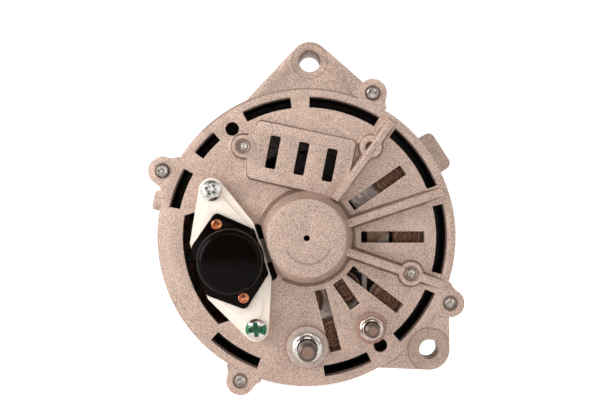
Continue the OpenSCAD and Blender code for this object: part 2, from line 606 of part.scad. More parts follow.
// deep-groove ball bearing b = [bore, outside diameter, width] with its rear face at y
function ball_r(b) = (b[1] - b[0]) * 0.12;
function pitch_r(b) = (b[0] + b[1]) / 4;
balls_in_bearing = 8;
module groove_ring(b, y, r0, r1) difference() {
    turned([[r0, y + 0.4], [r0 + 0.4, y], [r1 - 0.4, y], [r1, y + 0.4], [r1, y + b[2] - 0.4],
            [r1 - 0.4, y + b[2]], [r0 + 0.4, y + b[2]], [r0, y + b[2] - 0.4]]);
    translate([0, y + b[2] / 2, 0]) rotate([-90, 0, 0]) rotate_extrude()
        translate([pitch_r(b), 0]) circle(ball_r(b) + running, $fn = 48);
}
module outer_race(b, y) groove_ring(b, y, pitch_r(b) + ball_r(b) * 0.62, b[1] / 2);
module inner_race(b, y) groove_ring(b, y, b[0] / 2 + fit, pitch_r(b) - ball_r(b) * 0.62);
module balls(b, y) for (i = [0:balls_in_bearing - 1]) spin(i * 360 / balls_in_bearing)
    translate([pitch_r(b), y + b[2] / 2, 0]) sphere(r = ball_r(b), $fn = 48);
module cage(b, y) difference() {
    h = ball_r(b) + 0.7;
    turned([[pitch_r(b) - 0.9, y + b[2] / 2 - h], [pitch_r(b) + 0.9, y + b[2] / 2 - h],
            [pitch_r(b) + 0.9, y + b[2] / 2 + h], [pitch_r(b) - 0.9, y + b[2] / 2 + h]]);
    for (i = [0:balls_in_bearing - 1]) spin(i * 360 / balls_in_bearing)
        translate([pitch_r(b) - 3, y + b[2] / 2, 0]) rotate([0, 90, 0]) cylinder(r = ball_r(b) + running, h = 6);
}
module rear_bearing_outer_race() color("#b8b8ba") from_pivot() outer_race(rear_bearing, rear_brg_y);
module rear_bearing_inner_race() color("#b8b8ba") from_pivot() inner_race(rear_bearing, rear_brg_y);
module rear_bearing_balls() color("#d0d0d2") from_pivot() balls(rear_bearing, rear_brg_y);
module rear_bearing_cage() color("#a8906a") from_pivot() cage(rear_bearing, rear_brg_y);
module front_bearing_outer_race() color("#b8b8ba") from_pivot() outer_race(front_bearing, front_brg_y);
module front_bearing_inner_race() color("#b8b8ba") from_pivot() inner_race(front_bearing, front_brg_y);
module front_bearing_balls() color("#d0d0d2") from_pivot() balls(front_bearing, front_brg_y);
module front_bearing_cage() color("#a8906a") from_pivot() cage(front_bearing, front_brg_y);
module seal(b, y) turned([[pitch_r(b) - ball_r(b) * 0.62 + gap, y], [pitch_r(b) + ball_r(b) * 0.62 - fit, y],
    [pitch_r(b) + ball_r(b) * 0.62 - fit, y + 0.5], [pitch_r(b) - ball_r(b) * 0.62 + gap, y + 0.5]]);
module bearing_seals() color("#3a2a24") from_pivot() {
    seal(rear_bearing, rear_brg_y1 - 0.9);
    seal(front_bearing, front_brg_y + 0.4);
    seal(front_bearing, front_y1 - 0.9);
}

module bearing_retainer() color("#a39c92") from_pivot() slab(front_brg_y - retainer_t, front_brg_y) difference() {
    for (a = [90, 210, 330]) link([0, 0], front_bearing[1] / 2 + 0.5, polar(retainer_pos_r, a), 3.9);
    circle(front_bearing[1] / 2 - 5);
    for (a = [90, 210, 330]) translate(polar(retainer_pos_r, a)) circle(retainer_screw_d / 2 + hole_clear);
}
module retainer_screws() color("#c8c8c8") from_pivot() for (a = [90, 210, 330]) {
    y = front_brg_y - retainer_t;
    rod(polar(retainer_pos_r, a), y - eps, y + 9, retainer_screw_d / 2);
    rod(polar(retainer_pos_r, a), y - screw_head_t, y, 3.5);
}
module spacer_collar() color("#a9a6a2") from_pivot() turned([[drive_d / 2 + fit, front_y1], [12, front_y1],
    [12, front_y1 + 4], [12.8, front_y1 + 5], [12.8, collar_y1], [drive_d / 2 + fit, collar_y1]]);

// pressed fan: blades are curved plates that stand on the disc towards the housing
blade_t = 1.8;
blade_curve_r = 40;
blade_in = polar(31, 0);
blade_out = polar(fan_d / 2, -22);
function arc_centre(a, b, r) = let (m = (a + b) / 2, d = b - a, h = sqrt(r * r - d * d / 4))
    m + h * [-d[1], d[0]] / norm(d);
module blade2d() intersection() {
    c = arc_centre(blade_in, blade_out, blade_curve_r);
    translate(c) ring2d(blade_curve_r - blade_t / 2, blade_curve_r + blade_t / 2);
    sector(norm(blade_in), fan_d / 2 - 0.5, -30, 6);
}
module cooling_fan() color("#3b3a3a") from_pivot() {
    slab(collar_y1, fan_y1) difference() {
        circle(fan_d / 2);
        circle(drive_d / 2 + fit);
        for (i = [0:fan_blades - 1]) rotate(i * 360 / fan_blades)
            sector(norm(blade_in) + 12, fan_d / 2 + 1, -9, 1);
    }
    slab(collar_y1 - fan_blade_h, collar_y1 + 0.6) for (i = [0:fan_blades - 1]) rotate(i * 360 / fan_blades) blade2d();
}
module drive_pulley() color("#8f8b88") from_pivot() difference() {
    y0 = groove_y - pulley_w / 2;
    y1 = groove_y + pulley_w / 2;
    r = pulley_d / 2;
    root_w = groove_w - 2 * groove_depth * tan(18);
    turned([[drive_d / 2 + fit, fan_y1], [14, fan_y1], [14, groove_y - 3], [r - groove_depth - 4, groove_y - 3],
            [r - groove_depth - 4, y0], [r - 0.8, y0], [r, y0 + 0.8], [r, groove_y - groove_w / 2],
            [r - groove_depth, groove_y - root_w / 2], [r - groove_depth, groove_y + root_w / 2],
            [r, groove_y + groove_w / 2], [r, y1 - 0.8], [r - 0.8, y1], [r - groove_depth - 4, y1],
            [r - groove_depth - 4, groove_y + 3], [14, groove_y + 3], [14, pulley_y1], [drive_d / 2 + fit, pulley_y1]]);
    translate([-2.05, fan_y1 - 1, 0]) cube([4.1, pulley_hub_l + 2, drive_d / 2 + 2.6]);
}
module pulley_washer() color("#b9b4ae") from_pivot() slab(pulley_y1, pulley_y1 + washer_t) difference() {
    circle(12.4);
    circle(shaft_thread_d / 2 + hole_clear);
    rotate(70) translate([shaft_thread_d / 2 - 1, -0.4]) square([8, 0.8]);
}
module hex_nut(p, y0, h, af, bore_r) difference() {
    intersection() {
        slab(y0, y0 + h) translate(p) circle(af / 2 / cos(30), $fn = 6);
        translate([p[0], y0, p[1]]) turned([[0, 0], [af * 0.475, 0], [af * 0.6, af * 0.072], [af * 0.6, h - af * 0.072],
            [af * 0.475, h], [0, h]]);
    }
    rod(p, y0 - 1, y0 + h + 1, bore_r);
}
// terminal nut with a conical crown of base radius r, its six flats af apart
module crown_nut(p, y0, h, af, r, bore_r) difference() {
    intersection() {
        slab(y0, y0 + h) translate(p) circle(af / 2 / cos(30), $fn = 6);
        translate([p[0], y0, p[1]]) turned([[0, -1], [bore_r + 1, -1], [bore_r + 1, 0], [r, 0.6 * h], [r, h + 1], [0, h + 1]]);
    }
    rod(p, y0 - 1, y0 + h + 1, bore_r);
}
module pulley_nut() color("#c8c4bf") from_pivot()
    hex_nut([0, 0], pulley_y1 + washer_t, nut_h, nut_af, shaft_thread_d / 2 + fit);

module negative_heat_sink() color("#8c8681") from_pivot() slab(sink_y0, sink_y1) difference() {
    union() {
        sector(37.4, 51.8, negative_angles[2], 131);
        sector(24.6, 40, 20, 50);
        translate(polar(diode_pos_r, negative_angles[2])) circle(8);
    }
    for (a = negative_angles) translate(polar(diode_pos_r, a)) circle(diode_r + fit);
    for (p = rectifier_places) translate(polar(p[0], p[1])) circle(rectifier_screw_d / 2 + hole_clear);
}
module positive_heat_sink() color("#8c8681") from_pivot() slab(sink_y0, sink_y1) difference() {
    places = [for (p = positive_places) polar(p[0], p[1])];
    union() {
        link(places[0], 7.9, places[1], 7.9);
        link(places[1], 7.9, places[2], 7.9);
        link(places[2], 7.9, output_pos, 7.9);
        polygon(concat(places, [output_pos]));
    }
    for (p = places) translate(p) circle(diode_r + fit);
    translate(output_pos) circle(output_stud_d / 2 + fit);
}
// press-fit diode: stepped can, with its lead towards the rotor
module diode(p) translate([p[0], 0, p[1]]) {
    y1 = diode_y0 + diode_h;
    turned([[0, diode_y0 + 0.5], [2, diode_y0 + 0.5], [2, diode_y0 + 1], [4.4, diode_y0 + 1], [4.4, diode_y0],
            [diode_r - 0.5, diode_y0], [diode_r, diode_y0 + 0.5], [diode_r, y1 - 0.5], [diode_r - 0.5, y1],
            [2, y1], [1.2, y1 + 1], [0.65, y1 + 1.4], [0.65, frame_y0 + frame_t + 0.3], [0, frame_y0 + frame_t + 0.3]]);
}
module negative_diodes() color("#a8684a") from_pivot() for (a = negative_angles) diode(polar(diode_pos_r, a));
module positive_diodes() color("#a8684a") from_pivot() for (p = positive_places) diode(polar(p[0], p[1]));
module exciter_diodes() color("#2c2826") from_pivot() for (a = exciter_angles) {
    rod(polar(exciter_pos_r, a), bus_y0 + bus_t, bus_y0 + bus_t + 3.8, 2.4);
    rod(polar(exciter_pos_r, a), bus_y0 + bus_t + 3.8 - eps, frame_y0 + frame_t + 0.3, 0.5);
}
module exciter_bus() color("#b08a4c") from_pivot() slab(bus_y0, bus_y0 + bus_t) difference() {
    union() {
        sector(26.5, 35.8, -34, 17);
        polygon([[24.2, -14], [24.2, -35.8], [26.2, -35.8], [26.2, -14]]);
        translate(field_pos) circle(5);
    }
    translate(field_pos) circle(field_stud_d / 2 + fit);
}
module connector_frame() color("#2d2a28") from_pivot() slab(frame_y0, frame_y0 + frame_t) difference() {
    union() {
        sector(25.6, 48.6, -37.3, 108);
        sector(25, 46, -95, -37.3);
        for (a = negative_angles) translate(polar(diode_pos_r, a)) circle(3.4);
    }
    for (a = negative_angles) translate(polar(diode_pos_r, a)) circle(0.65 + fit);
    for (p = positive_places) translate(polar(p[0], p[1])) circle(0.65 + fit);
    for (a = exciter_angles) translate(polar(exciter_pos_r, a)) circle(0.5 + fit);
    for (p = rectifier_places) translate(polar(p[0], p[1])) circle(4.4);
    for (p = [output_pos, field_pos]) translate(p) circle(7);
    for (a = [64, 84, 104]) translate(polar(slot_bottom_r - 6, a)) circle(0.9 + fit);
    for (a = [-12, 24, 60, 88]) rotate(a) sector(36.5, 40.5, -6, 6);
}
module rectifier_screws() color("#b9b4ae") from_pivot() for (i = [0:2]) {
    p = polar(rectifier_places[i][0], rectifier_places[i][1]);
    rod(p, -rectifier_tips[i], sink_y1 + eps, rectifier_screw_d / 2);
    rod(p, sink_y1, sink_y1 + screw_head_t, 3.6);
}

// terminal stud: full diameter outside and below its nut, thread root inside the nut between nut_y and nut_y1
module stud(p, out, tip, d, nut_y, nut_y1, head_y, head_r, head_t) {
    translate([p[0], 0, p[1]]) turned([[0, -out], [d / 2 - tip, -out], [d / 2, -out + tip], [d / 2, nut_y],
        [d / 2 - stud_relief, nut_y], [d / 2 - stud_relief, nut_y1], [d / 2, nut_y1], [d / 2, head_y + eps],
        [0, head_y + eps]]);
    slab(head_y, head_y + head_t) translate(p) circle(head_r / cos(30), $fn = 6);
}
// insulating bush: outer flange, tube through the rear wall, inner flange
module insulator(p, d, wall, flange, outer_r, inner_r, inner_y1) translate([p[0], 0, p[1]])
    turned([[d / 2 + fit, -flange], [outer_r, -flange], [outer_r, -fit], [d / 2 + wall, -fit], [d / 2 + wall, plate_t + fit],
            [inner_r, plate_t + fit], [inner_r, inner_y1], [d / 2 + fit, inner_y1]]);
module output_stud() color("#c8a878") from_pivot()
    stud(output_pos, output_stud_out, output_tip, output_stud_d, output_nut_y, output_nut_y + output_nut_h, sink_y1,
        4.8, 3.2);
module output_insulator() color("#3a332e") from_pivot()
    insulator(output_pos, output_stud_d, 1.3, output_flange, 9.3, 5.5, sink_y0);
module output_washer() color("#d8cfc6") from_pivot()
    slab(-output_flange - output_washer_t, -output_flange) translate(output_pos)
    ring2d(output_stud_d / 2 + hole_clear, 8.9);
module output_nut() color("#c8c4bf") from_pivot()
    crown_nut(output_pos, output_nut_y, output_nut_h, 12, 6.5, output_stud_d / 2 - stud_relief + fit);
module field_stud() color("#c8a878") from_pivot()
    stud(field_pos, field_stud_out, field_tip, field_stud_d, field_nut_y, field_nut_y + field_nut_h, bus_y0 + bus_t,
        4.4, 3);
module field_insulator() color("#e0b8a8") from_pivot()
    insulator(field_pos, field_stud_d, 1.2, field_flange, 6.6, 5.8, bus_y0);
module field_nut() color("#c8c4bf") from_pivot()
    crown_nut(field_pos, field_nut_y, field_nut_h, 9.6, 5.2, field_stud_d / 2 - stud_relief + fit);

module holder2d() at_regulator() {
    corners = [[holder_u[1], holder_v], [holder_u[0], holder_v]];
    translate([holder_u[0], -holder_v]) square([holder_u[1] - holder_u[0], 2 * holder_v]);
    for (s = [1, -1]) {
        c = [screw_u, s * half_span];
        for (q = corners) link([q[0], s * q[1]], 0, c, holder_end_r);
        polygon([[holder_u[0], s * holder_v], c, [holder_u[1], s * holder_v]]);
    }
}
// raised pad under the regulator and the two screw seats
module holder_pad2d() {
    polygon([[-2.2, 26.4], [-11.8, 11.8], [-11.8, -11.8], [-2.2, -26.4], [5, -26.4], [11.8, -11.8], [11.8, 11.8],
             [5, 26.4]]);
    for (s = [1, -1]) translate([screw_u, s * half_span]) circle(screw_seat_r);
}
// the box section is drawn along the brush line, from the slip rings outwards
module brush_line() rotate(180 + regulator_angle) children();
module brush_holder() color("#efe6dc") from_pivot() difference() {
    union() {
        slab(pad_h - holder_flange_t, 0) holder2d();
        slab(-holder_flange_t, pad_h - holder_flange_t + eps) at_regulator() holder_pad2d();
        slab(-1, box_y1) brush_line() translate([opening_inner + 0.6, -box_half_t])
            square([channel_end_r + 1.6 - opening_inner - 0.6, 2 * box_half_t]);
        slab(plate_t + gap, box_y1) brush_line() translate([ring_d / 2 + 1, -box_half_t])
            square([channel_end_r - ring_d / 2, 2 * box_half_t]);
    }
    for (m = ring_mid) slab(m - channel_y / 2, m + channel_y / 2) brush_line()
        translate([ring_d / 2 - 2, -channel_t / 2]) square([channel_end_r - ring_d / 2 + 2, channel_t]);
    for (p = regulator_screws_at) rod(p, -holder_flange_t - 1, 1, regulator_screw_d / 2 + hole_clear);
    for (p = rivets_at) rod(p, -holder_flange_t - 1, -holder_flange_t + 3, rivet_r + fit);
}
module brush(m) slab(m - brush_y / 2, m + brush_y / 2) brush_line() difference() {
    translate([ring_d / 2 - 2, -brush_t / 2]) square([brush_l + 2 + contact_gap, brush_t]);
    circle(brush_r0);
}
module rear_brush() color("#3a3836") from_pivot() brush(ring_mid[0]);
module front_brush() color("#3a3836") from_pivot() brush(ring_mid[1]);
// compression spring as a tube swept along a helix whose axis is the brush line
function helix_point(r0, l, m, t) = let (a = 360 * spring_turns * t, x = r0 + l * t, q = 180 + regulator_angle,
    s = spring_r * cos(a)) [x * cos(q) - s * sin(q), m + spring_r * sin(a), x * sin(q) + s * cos(q)];
module spring(m) {
    r0 = brush_r1 + spring_wire / 2 + 0.1;
    l = channel_end_r - r0 - spring_wire / 2 - 0.1;
    n = spring_turns * 10;
    sides = 5;
    path = [for (i = [0:n]) helix_point(r0, l, m, i / n)];
    rings = [for (i = [0:n]) let (t = path[min(i + 1, n)] - path[max(i - 1, 0)], w = t / norm(t),
        u0 = cross(w, [cos(regulator_angle), 0, sin(regulator_angle)]), u = u0 / norm(u0), v = cross(w, u))
        for (k = [0:sides - 1]) path[i] + spring_wire / 2 * (u * cos(360 * k / sides) + v * sin(360 * k / sides))];
    polyhedron(rings, concat([[for (k = [0:sides - 1]) k]],
        [for (i = [0:n - 1], k = [0:sides - 1]) let (k2 = (k + 1) % sides)
            [i * sides + k2, i * sides + k, (i + 1) * sides + k, (i + 1) * sides + k2]],
        [[for (k = [0:sides - 1]) n * sides + sides - 1 - k]]));
}
module rear_brush_spring() color("#c9a25a") from_pivot() spring(ring_mid[0]);
module front_brush_spring() color("#c9a25a") from_pivot() spring(ring_mid[1]);

module regulator_plate() color("#15120f") from_pivot() difference() {
    slab(-holder_flange_t - plate_h, -holder_flange_t) at_regulator()
        rounded([[0.2, 18.6], [-11.6, 9.6], [-11.6, -9.6], [-0.2, -18.6], [11.4, -9], [11.4, 8.6]], 2.4);
    for (p = rivets_at) rod(p, -holder_flange_t - plate_h - 1, 1, rivet_r + fit);
}
module regulator_cap() color("#15120f") from_pivot() difference() {
    p = regulator_point(0, 0);
    y = -holder_flange_t - plate_h;
    translate([p[0], 0, p[1]]) turned([[0, y], [cap_d / 2 + 0.4, y], [cap_d / 2 + 0.4, y - 1.2], [cap_d / 2, y - 1.4],
        [cap_d / 2 - 0.4, y - cap_h + 1.8], [cap_d / 2 - 1.8, y - cap_h + 0.3], [cap_d / 2 - 2.6, y - cap_h],
        [0, y - cap_h]]);
    for (p = rivets_at) rod(p, y - 2, y + 1, rivet_head_r + fit);
}
module regulator_rivets() color("#c8743e") from_pivot() for (p = rivets_at) {
    y = -holder_flange_t - plate_h;
    translate([p[0], 0, p[1]]) turned([[0, y - 1.3], [1.5, y - 1.1], [2.3, y - 0.5], [rivet_head_r, y], [rivet_r, y],
        [rivet_r, -holder_flange_t + 3], [0, -holder_flange_t + 3]]);
}
module regulator_screws() color("#d0d0d0") from_pivot() for (p = regulator_screws_at) {
    rod(p, -holder_flange_t - eps, plate_t + 3.5, regulator_screw_d / 2);
    translate([p[0], -holder_flange_t, p[1]]) turned([[0, 0], [4.45, 0], [4.45, -1.2], [3.9, -2.1], [2.6, -2.7],
        [0, -2.9]]);
}

rear_housing();
front_housing();
stator_core();
stator_winding();
through_bolts();
rotor_shaft();
rear_claw_pole();
front_claw_pole();
coil_bobbin();
field_coil();
slip_ring_carrier();
slip_rings();
rear_bearing_outer_race();
rear_bearing_inner_race();
rear_bearing_balls();
rear_bearing_cage();
front_bearing_outer_race();
front_bearing_inner_race();
front_bearing_balls();
front_bearing_cage();
bearing_seals();
bearing_retainer();
retainer_screws();
spacer_collar();
cooling_fan();
drive_pulley();
woodruff_key();
pulley_washer();
pulley_nut();
negative_heat_sink();
positive_heat_sink();
negative_diodes();
positive_diodes();
exciter_diodes();
exciter_bus();
connector_frame();
rectifier_screws();
output_stud();
output_insulator();
output_washer();
output_nut();
field_stud();
field_insulator();
field_nut();
brush_holder();
regulator_plate();
regulator_cap();
regulator_rivets();
regulator_screws();
rear_brush();
front_brush();
rear_brush_spring();
front_brush_spring();
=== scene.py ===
import json
import math

import bmesh
import bpy
import numpy as np
from bpy.props import FloatProperty, FloatVectorProperty, IntProperty, PointerProperty
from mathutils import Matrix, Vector


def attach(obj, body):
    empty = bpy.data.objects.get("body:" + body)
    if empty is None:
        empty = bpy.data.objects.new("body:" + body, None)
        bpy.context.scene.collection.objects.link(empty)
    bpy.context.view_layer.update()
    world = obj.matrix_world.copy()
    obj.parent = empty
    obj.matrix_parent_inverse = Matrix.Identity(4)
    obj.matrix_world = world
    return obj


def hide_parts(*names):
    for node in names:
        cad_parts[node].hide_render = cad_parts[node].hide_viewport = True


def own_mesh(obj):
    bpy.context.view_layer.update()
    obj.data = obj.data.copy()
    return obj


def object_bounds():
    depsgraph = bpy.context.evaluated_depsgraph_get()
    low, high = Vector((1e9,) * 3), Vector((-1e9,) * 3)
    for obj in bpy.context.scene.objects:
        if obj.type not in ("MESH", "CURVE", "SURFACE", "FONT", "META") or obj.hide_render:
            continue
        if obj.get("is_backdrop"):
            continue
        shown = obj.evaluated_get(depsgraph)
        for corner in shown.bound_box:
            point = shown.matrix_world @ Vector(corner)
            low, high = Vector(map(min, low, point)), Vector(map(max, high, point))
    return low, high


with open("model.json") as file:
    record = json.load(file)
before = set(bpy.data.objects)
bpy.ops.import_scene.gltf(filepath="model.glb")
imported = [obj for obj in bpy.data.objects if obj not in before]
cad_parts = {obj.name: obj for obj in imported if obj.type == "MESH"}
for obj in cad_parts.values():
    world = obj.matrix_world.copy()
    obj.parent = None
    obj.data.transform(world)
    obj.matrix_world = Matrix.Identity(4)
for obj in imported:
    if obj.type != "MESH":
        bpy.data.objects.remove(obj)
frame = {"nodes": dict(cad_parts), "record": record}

bl_info = {
    "name": "Alternator dressing",
    "version": (1, 0, 0),
    "blender": (4, 5, 0),
    "location": "View3D > Sidebar > Alternator",
    "description": "Dresses the solids of a claw-pole alternator with threads, windings, cast edges and finishes",
    "category": "Add Mesh",
}

# Places are worked out in millimetres from the shaft axis, x to the right and z up as seen from the terminals, and
# in depth from the outer face of the rear wall towards the pulley. place() turns them into the frame. A place given
# as two numbers is x and z, or a radius and an angle where that is said.
MM = 0.001
PIVOT = np.array([1.7, 45.0, 80.6])
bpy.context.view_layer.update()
BODY_OF = {n: b for b, members in frame["record"]["behaviour"]["bodies"].items() for n in members}

CAMERA_AT = (-2.8, -520.0, 15.9)
CAMERA_LENS = 72.7
SHAFT = (0.0, 0.0)
ADJUSTER_POS = (52.8, -48.4)
OUTPUT_POS = (0.3, -47.1)
FIELD_POS = (27.7, -39.0)
OUTPUT_NUT = {"front": -8.9, "height": 6.5, "across": 9.8, "flange_r": 6.5, "bore": 4.1}
FIELD_NUT = {"front": -6.8, "height": 5.0, "across": 7.9, "flange_r": 5.25, "bore": 3.1}

# the regulator stands turned on the rear wall; its rivets and screws are placed in its own frame
REGULATOR_ANGLE = 18.0
REGULATOR_CENTRE = (-33.8, 0.5)
RIVETS = ((-0.6, 16.4), (0.6, -16.4))
UPPER_SCREW, LOWER_SCREW = (1.4, 30.9), (1.4, -30.9)

# radius and angle of each place, with the depth of the bolt's or screw's end
BOLT_PLACES = ((68.0, 65.3, -1.8), (68.0, 155.3, -1.6), (68.0, 245.3, 0.5), (68.0, 335.3, 0.4))
RECTIFIER_PLACES = ((47.2, -19.3, -2.6), (47.4, 124.9, -2.6))
DIODE_PLACES = ((43.7, 35.0), (43.7, 0.0), (43.7, -37.3), (43.7, -75.0), (27.5, -55.0), (27.5, -90.0))

# raised parts of the rear wall: angle, start, end and height of the ribs' feet and of their crowns; radius and angle
# of the screw bosses with the boss's own radius; the vent box's outline
RIB_FEET = ((18.5, 19.6, 60.2, 8.0), (-19.3, 19.6, 61.2, 8.0), (53.6, 30.0, 60.2, 6.0))
RIB_CROWNS = ((18.5, 18.6, 61.0, 8.0), (-19.3, 52.6, 61.6, 8.0), (-19.3, 18.6, 42.0, 8.0), (53.6, 31.0, 61.0, 6.0))
RIB_RUN, RIB_LOW = (14.0, 61.5), 2.4
SCREW_BOSSES = ((47.2, -19.3, 5.0), (47.4, 54.7, 4.7), (47.4, 124.9, 4.7))
BOSS_RADIUS = 20.25
VENT_BOX = ((12, 15.4), (15.7, 18.4), (17.9, 24.9), (21.2, 41), (-20.6, 49.9), (-22.9, 43.8), (-25.3, 34),
            (-25.3, 25.6), (-7.4, 21.5), (0.2, 19.9))

# the castings' rim, and their inside: its radius and the depths of its two walls
RIM_RADIUS = 63.7
INNER_RADIUS = 60.3
INNER_WALLS = (3.4, 70.5)
STATOR_SLOTS = 36
STATOR_FACES = (23.4, 46.6)
FIELD_COIL = (28.25, 41.75)
SKIRT_ROWS = 8


def place(points):
    """Shaft millimetres to frame metres."""
    return (np.asarray(points, dtype=float) - PIVOT) * MM


def depth_of(y):
    """Depth in shaft millimetres to the frame's y."""
    return float(place([0.0, y, 0.0])[1])


def spun(x, z, degrees):
    """x and z turned about the shaft: x cos a - z sin a and x sin a + z cos a."""
    a = np.radians(degrees)
    return x * np.cos(a) - z * np.sin(a), x * np.sin(a) + z * np.cos(a)


def polar(radius, degrees):
    """The place at a radius and an angle."""
    return spun(radius, 0.0, degrees)


def regulator_point(u, v):
    """A point of the regulator's own frame, u towards the shaft and v along its screws, in shaft millimetres."""
    return spun(u + REGULATOR_CENTRE[0], v + REGULATOR_CENTRE[1], REGULATOR_ANGLE)


# ---------------------------------------------------------------- surfaces

def full_turn(sides):
    """Angles of a closed ring's points, in radians."""
    return np.linspace(0, 2 * np.pi, sides, endpoint=False)


def grid_faces(rows, columns, rings=False):
    """Quads between neighbours of a rows x columns grid; where the rows are rings, their last column joins the
    first."""
    i = np.arange(rows - 1)[:, None]
    j = np.arange(columns if rings else columns - 1)[None, :]
    i2, j2 = i + 1, (j + 1) % columns
    return np.stack([i * columns + j, i2 * columns + j, i2 * columns + j2, i * columns + j2], -1).reshape(-1, 4)


def turned(centre, r, y, a):
    """Grid of points at radius r, depth y and angle a about the depth axis through centre: x = r cos a, z = r sin a.
    Its columns close into rings."""
    points = np.stack([centre[0] + r * np.cos(a), y + 0 * a, centre[1] + r * np.sin(a)], -1)
    return points.reshape(-1, 3), grid_faces(*points.shape[:2], rings=True)


def lathe(profile, centre, sides):
    """Profile points [radius, depth] turned about the depth axis through centre."""
    profile = np.asarray(profile, dtype=float)
    return turned(centre, profile[:, 0, None], profile[:, 1, None], full_turn(sides))


def threaded_rod(centre, outer, inner, radius, pitch, chamfer, sides, steps=10):
    """Rod along the depth axis from its free end at outer to inner. At angle a and depth y the radius is the full
    radius less the thread depth times a triangle wave of y / pitch - a / 2 pi, cut back by a cone at the free end.
    The end itself is a little dished, in rings of [share of its radius, depth]."""
    rows = int((inner - outer) / pitch * steps) + 2
    y = np.linspace(outer, inner, rows)[:, None]
    a = full_turn(sides)[None, :]
    tooth = np.clip(1.25 - 2.5 * np.abs((y / pitch - a / (2 * np.pi)) % 1 - 0.5), 0, 1)
    thread_depth, cone = 0.58 * pitch, 1.1
    r = np.minimum(radius - thread_depth * (1 - tooth), radius - chamfer + (y - outer) * cone)
    flat = radius - chamfer - 0.5
    dish = np.array([[0.0, 0.02], [0.35, 0.05], [0.55, 0.24], [0.8, 0.2], [1.0, 0.0]])
    r = np.concatenate([dish[:, :1] * flat + 0 * a, r, 0 * a])
    y = np.concatenate([dish[:, 1:] + outer, y, [[inner]]])
    return turned(centre, r, y, a)


def recessed_head(centre, seat, radius, height, turn, sides=160, rows=44):
    """Pan head with a cross recess. The crown is a flat dome, height (0.36 + 0.64 (1 - (r / R)^2.8)); the recess
    takes away a depth that rises smoothly with the distance inside a cross of two tapered bars."""
    q = np.linspace(0, 1, rows)[:, None]
    a = full_turn(sides)[None, :]
    r = radius * q
    crown = height * (0.36 + 0.64 * (1 - q ** 2.8))
    b = a + math.radians(turn)
    x, z = np.abs(r * np.cos(b)), np.abs(r * np.sin(b))
    reach, half, taper = radius * 0.68, radius * 0.19, 0.05
    bar_x = np.maximum(x - reach, z - half - taper * (reach - x))
    bar_z = np.maximum(z - reach, x - half - taper * (reach - z))
    sink = np.clip(-np.minimum(bar_x, bar_z) / 0.22, 0, 1)
    sink = sink * sink * (3 - 2 * sink) * (0.62 + 0.38 * np.clip(1 - r / reach, 0, 1)) * height * 0.72
    skirt_r = np.array([[radius], [radius * 0.985], [0.0]])
    skirt_y = np.array([[seat - height * 0.2], [seat - 0.01], [seat - 0.01]])
    y = np.concatenate([seat - crown + sink, skirt_y + 0 * a])
    return turned(centre, np.concatenate([r, skirt_r]) + 0 * a, y, a)


def tubes(paths, radius, sides=6):
    """Round wires along many paths at once, paths[wire, step, xyz]. Each ring lies across the path, in the plane of
    the outward direction from the shaft and the direction at right angles to it and to the path."""
    t = np.gradient(paths, axis=1)
    t /= np.linalg.norm(t, axis=2, keepdims=True)
    out = paths * np.array([1.0, 0.0, 1.0])
    out /= np.linalg.norm(out, axis=2, keepdims=True)
    side = np.cross(t, out)
    side /= np.linalg.norm(side, axis=2, keepdims=True)
    out = np.cross(side, t)
    a = full_turn(sides)
    ring = paths[:, :, None] + radius * (np.cos(a)[:, None] * out[:, :, None] + np.sin(a)[:, None] * side[:, :, None])
    wires, steps = paths.shape[:2]
    faces = grid_faces(steps, sides, rings=True)
    faces = (faces[None] + (np.arange(wires) * steps * sides)[:, None, None]).reshape(-1, 4)
    return ring.reshape(-1, 3), faces


def coil(axis, across, deep, radius, wire_radius, turns, sides=8):
    """Round wire wound about a straight line: the points of axis plus radius (cos a across + sin a deep). Each ring
    of the wire lies across the wound path."""
    a = 2 * np.pi * turns * np.linspace(0, 1, len(axis))[:, None]
    normal = np.cos(a) * across + np.sin(a) * deep
    path = axis + radius * normal
    tangent = np.gradient(path, axis=0)
    tangent /= np.linalg.norm(tangent, axis=1, keepdims=True)
    binormal = np.cross(tangent, normal)
    b = full_turn(sides)[:, None]
    ring = path[:, None] + wire_radius * (np.cos(b) * normal[:, None] + np.sin(b) * binormal[:, None])
    return ring.reshape(-1, 3), grid_faces(len(path), sides, rings=True)


def skirt(path, height, width, closed=False):
    """Concave fillet between a raised wall and the rear wall's outer face. path runs along the wall's foot with the
    free side on its right; t from 0 at the wall to 1 at the foot moves out by width t and drops as
    height (1 - t)^2.2."""
    path = np.asarray(path, dtype=float)
    ahead = np.roll(path, -1, axis=0) - np.roll(path, 1, axis=0) if closed else np.gradient(path, axis=0)
    ahead /= np.linalg.norm(ahead, axis=1, keepdims=True)
    right = np.stack([ahead[:, 1], -ahead[:, 0]], -1)
    t = np.linspace(0, 1, SKIRT_ROWS)[:, None]
    height, width = np.broadcast_to(height, len(path)), np.broadcast_to(width, len(path))
    tuck, lift = 0.12, 0.01
    off = width * t - tuck
    drop = height * (1 - t) ** 2.2 + lift
    points = np.stack([path[:, 0] + right[:, 0] * off, -drop, path[:, 1] + right[:, 1] * off], -1)
    return points.reshape(-1, 3), grid_faces(SKIRT_ROWS, len(path), rings=closed)


def eased(points, cut):
    """Closed outline whose corners are parabolas: a (1 - k)^2 + 2 b k (1 - k) + c k^2, from cut before corner b to
    cut after it."""
    b = np.asarray(points, dtype=float)
    a, c = np.roll(b, 1, axis=0) - b, np.roll(b, -1, axis=0) - b
    a = (b + a / np.linalg.norm(a, axis=1, keepdims=True) * cut)[:, None]
    c = (b + c / np.linalg.norm(c, axis=1, keepdims=True) * cut)[:, None]
    k = np.linspace(0, 1, 7)[None, :, None]
    return (a * (1 - k) ** 2 + 2 * b[:, None] * k * (1 - k) + c * k ** 2).reshape(-1, 2)


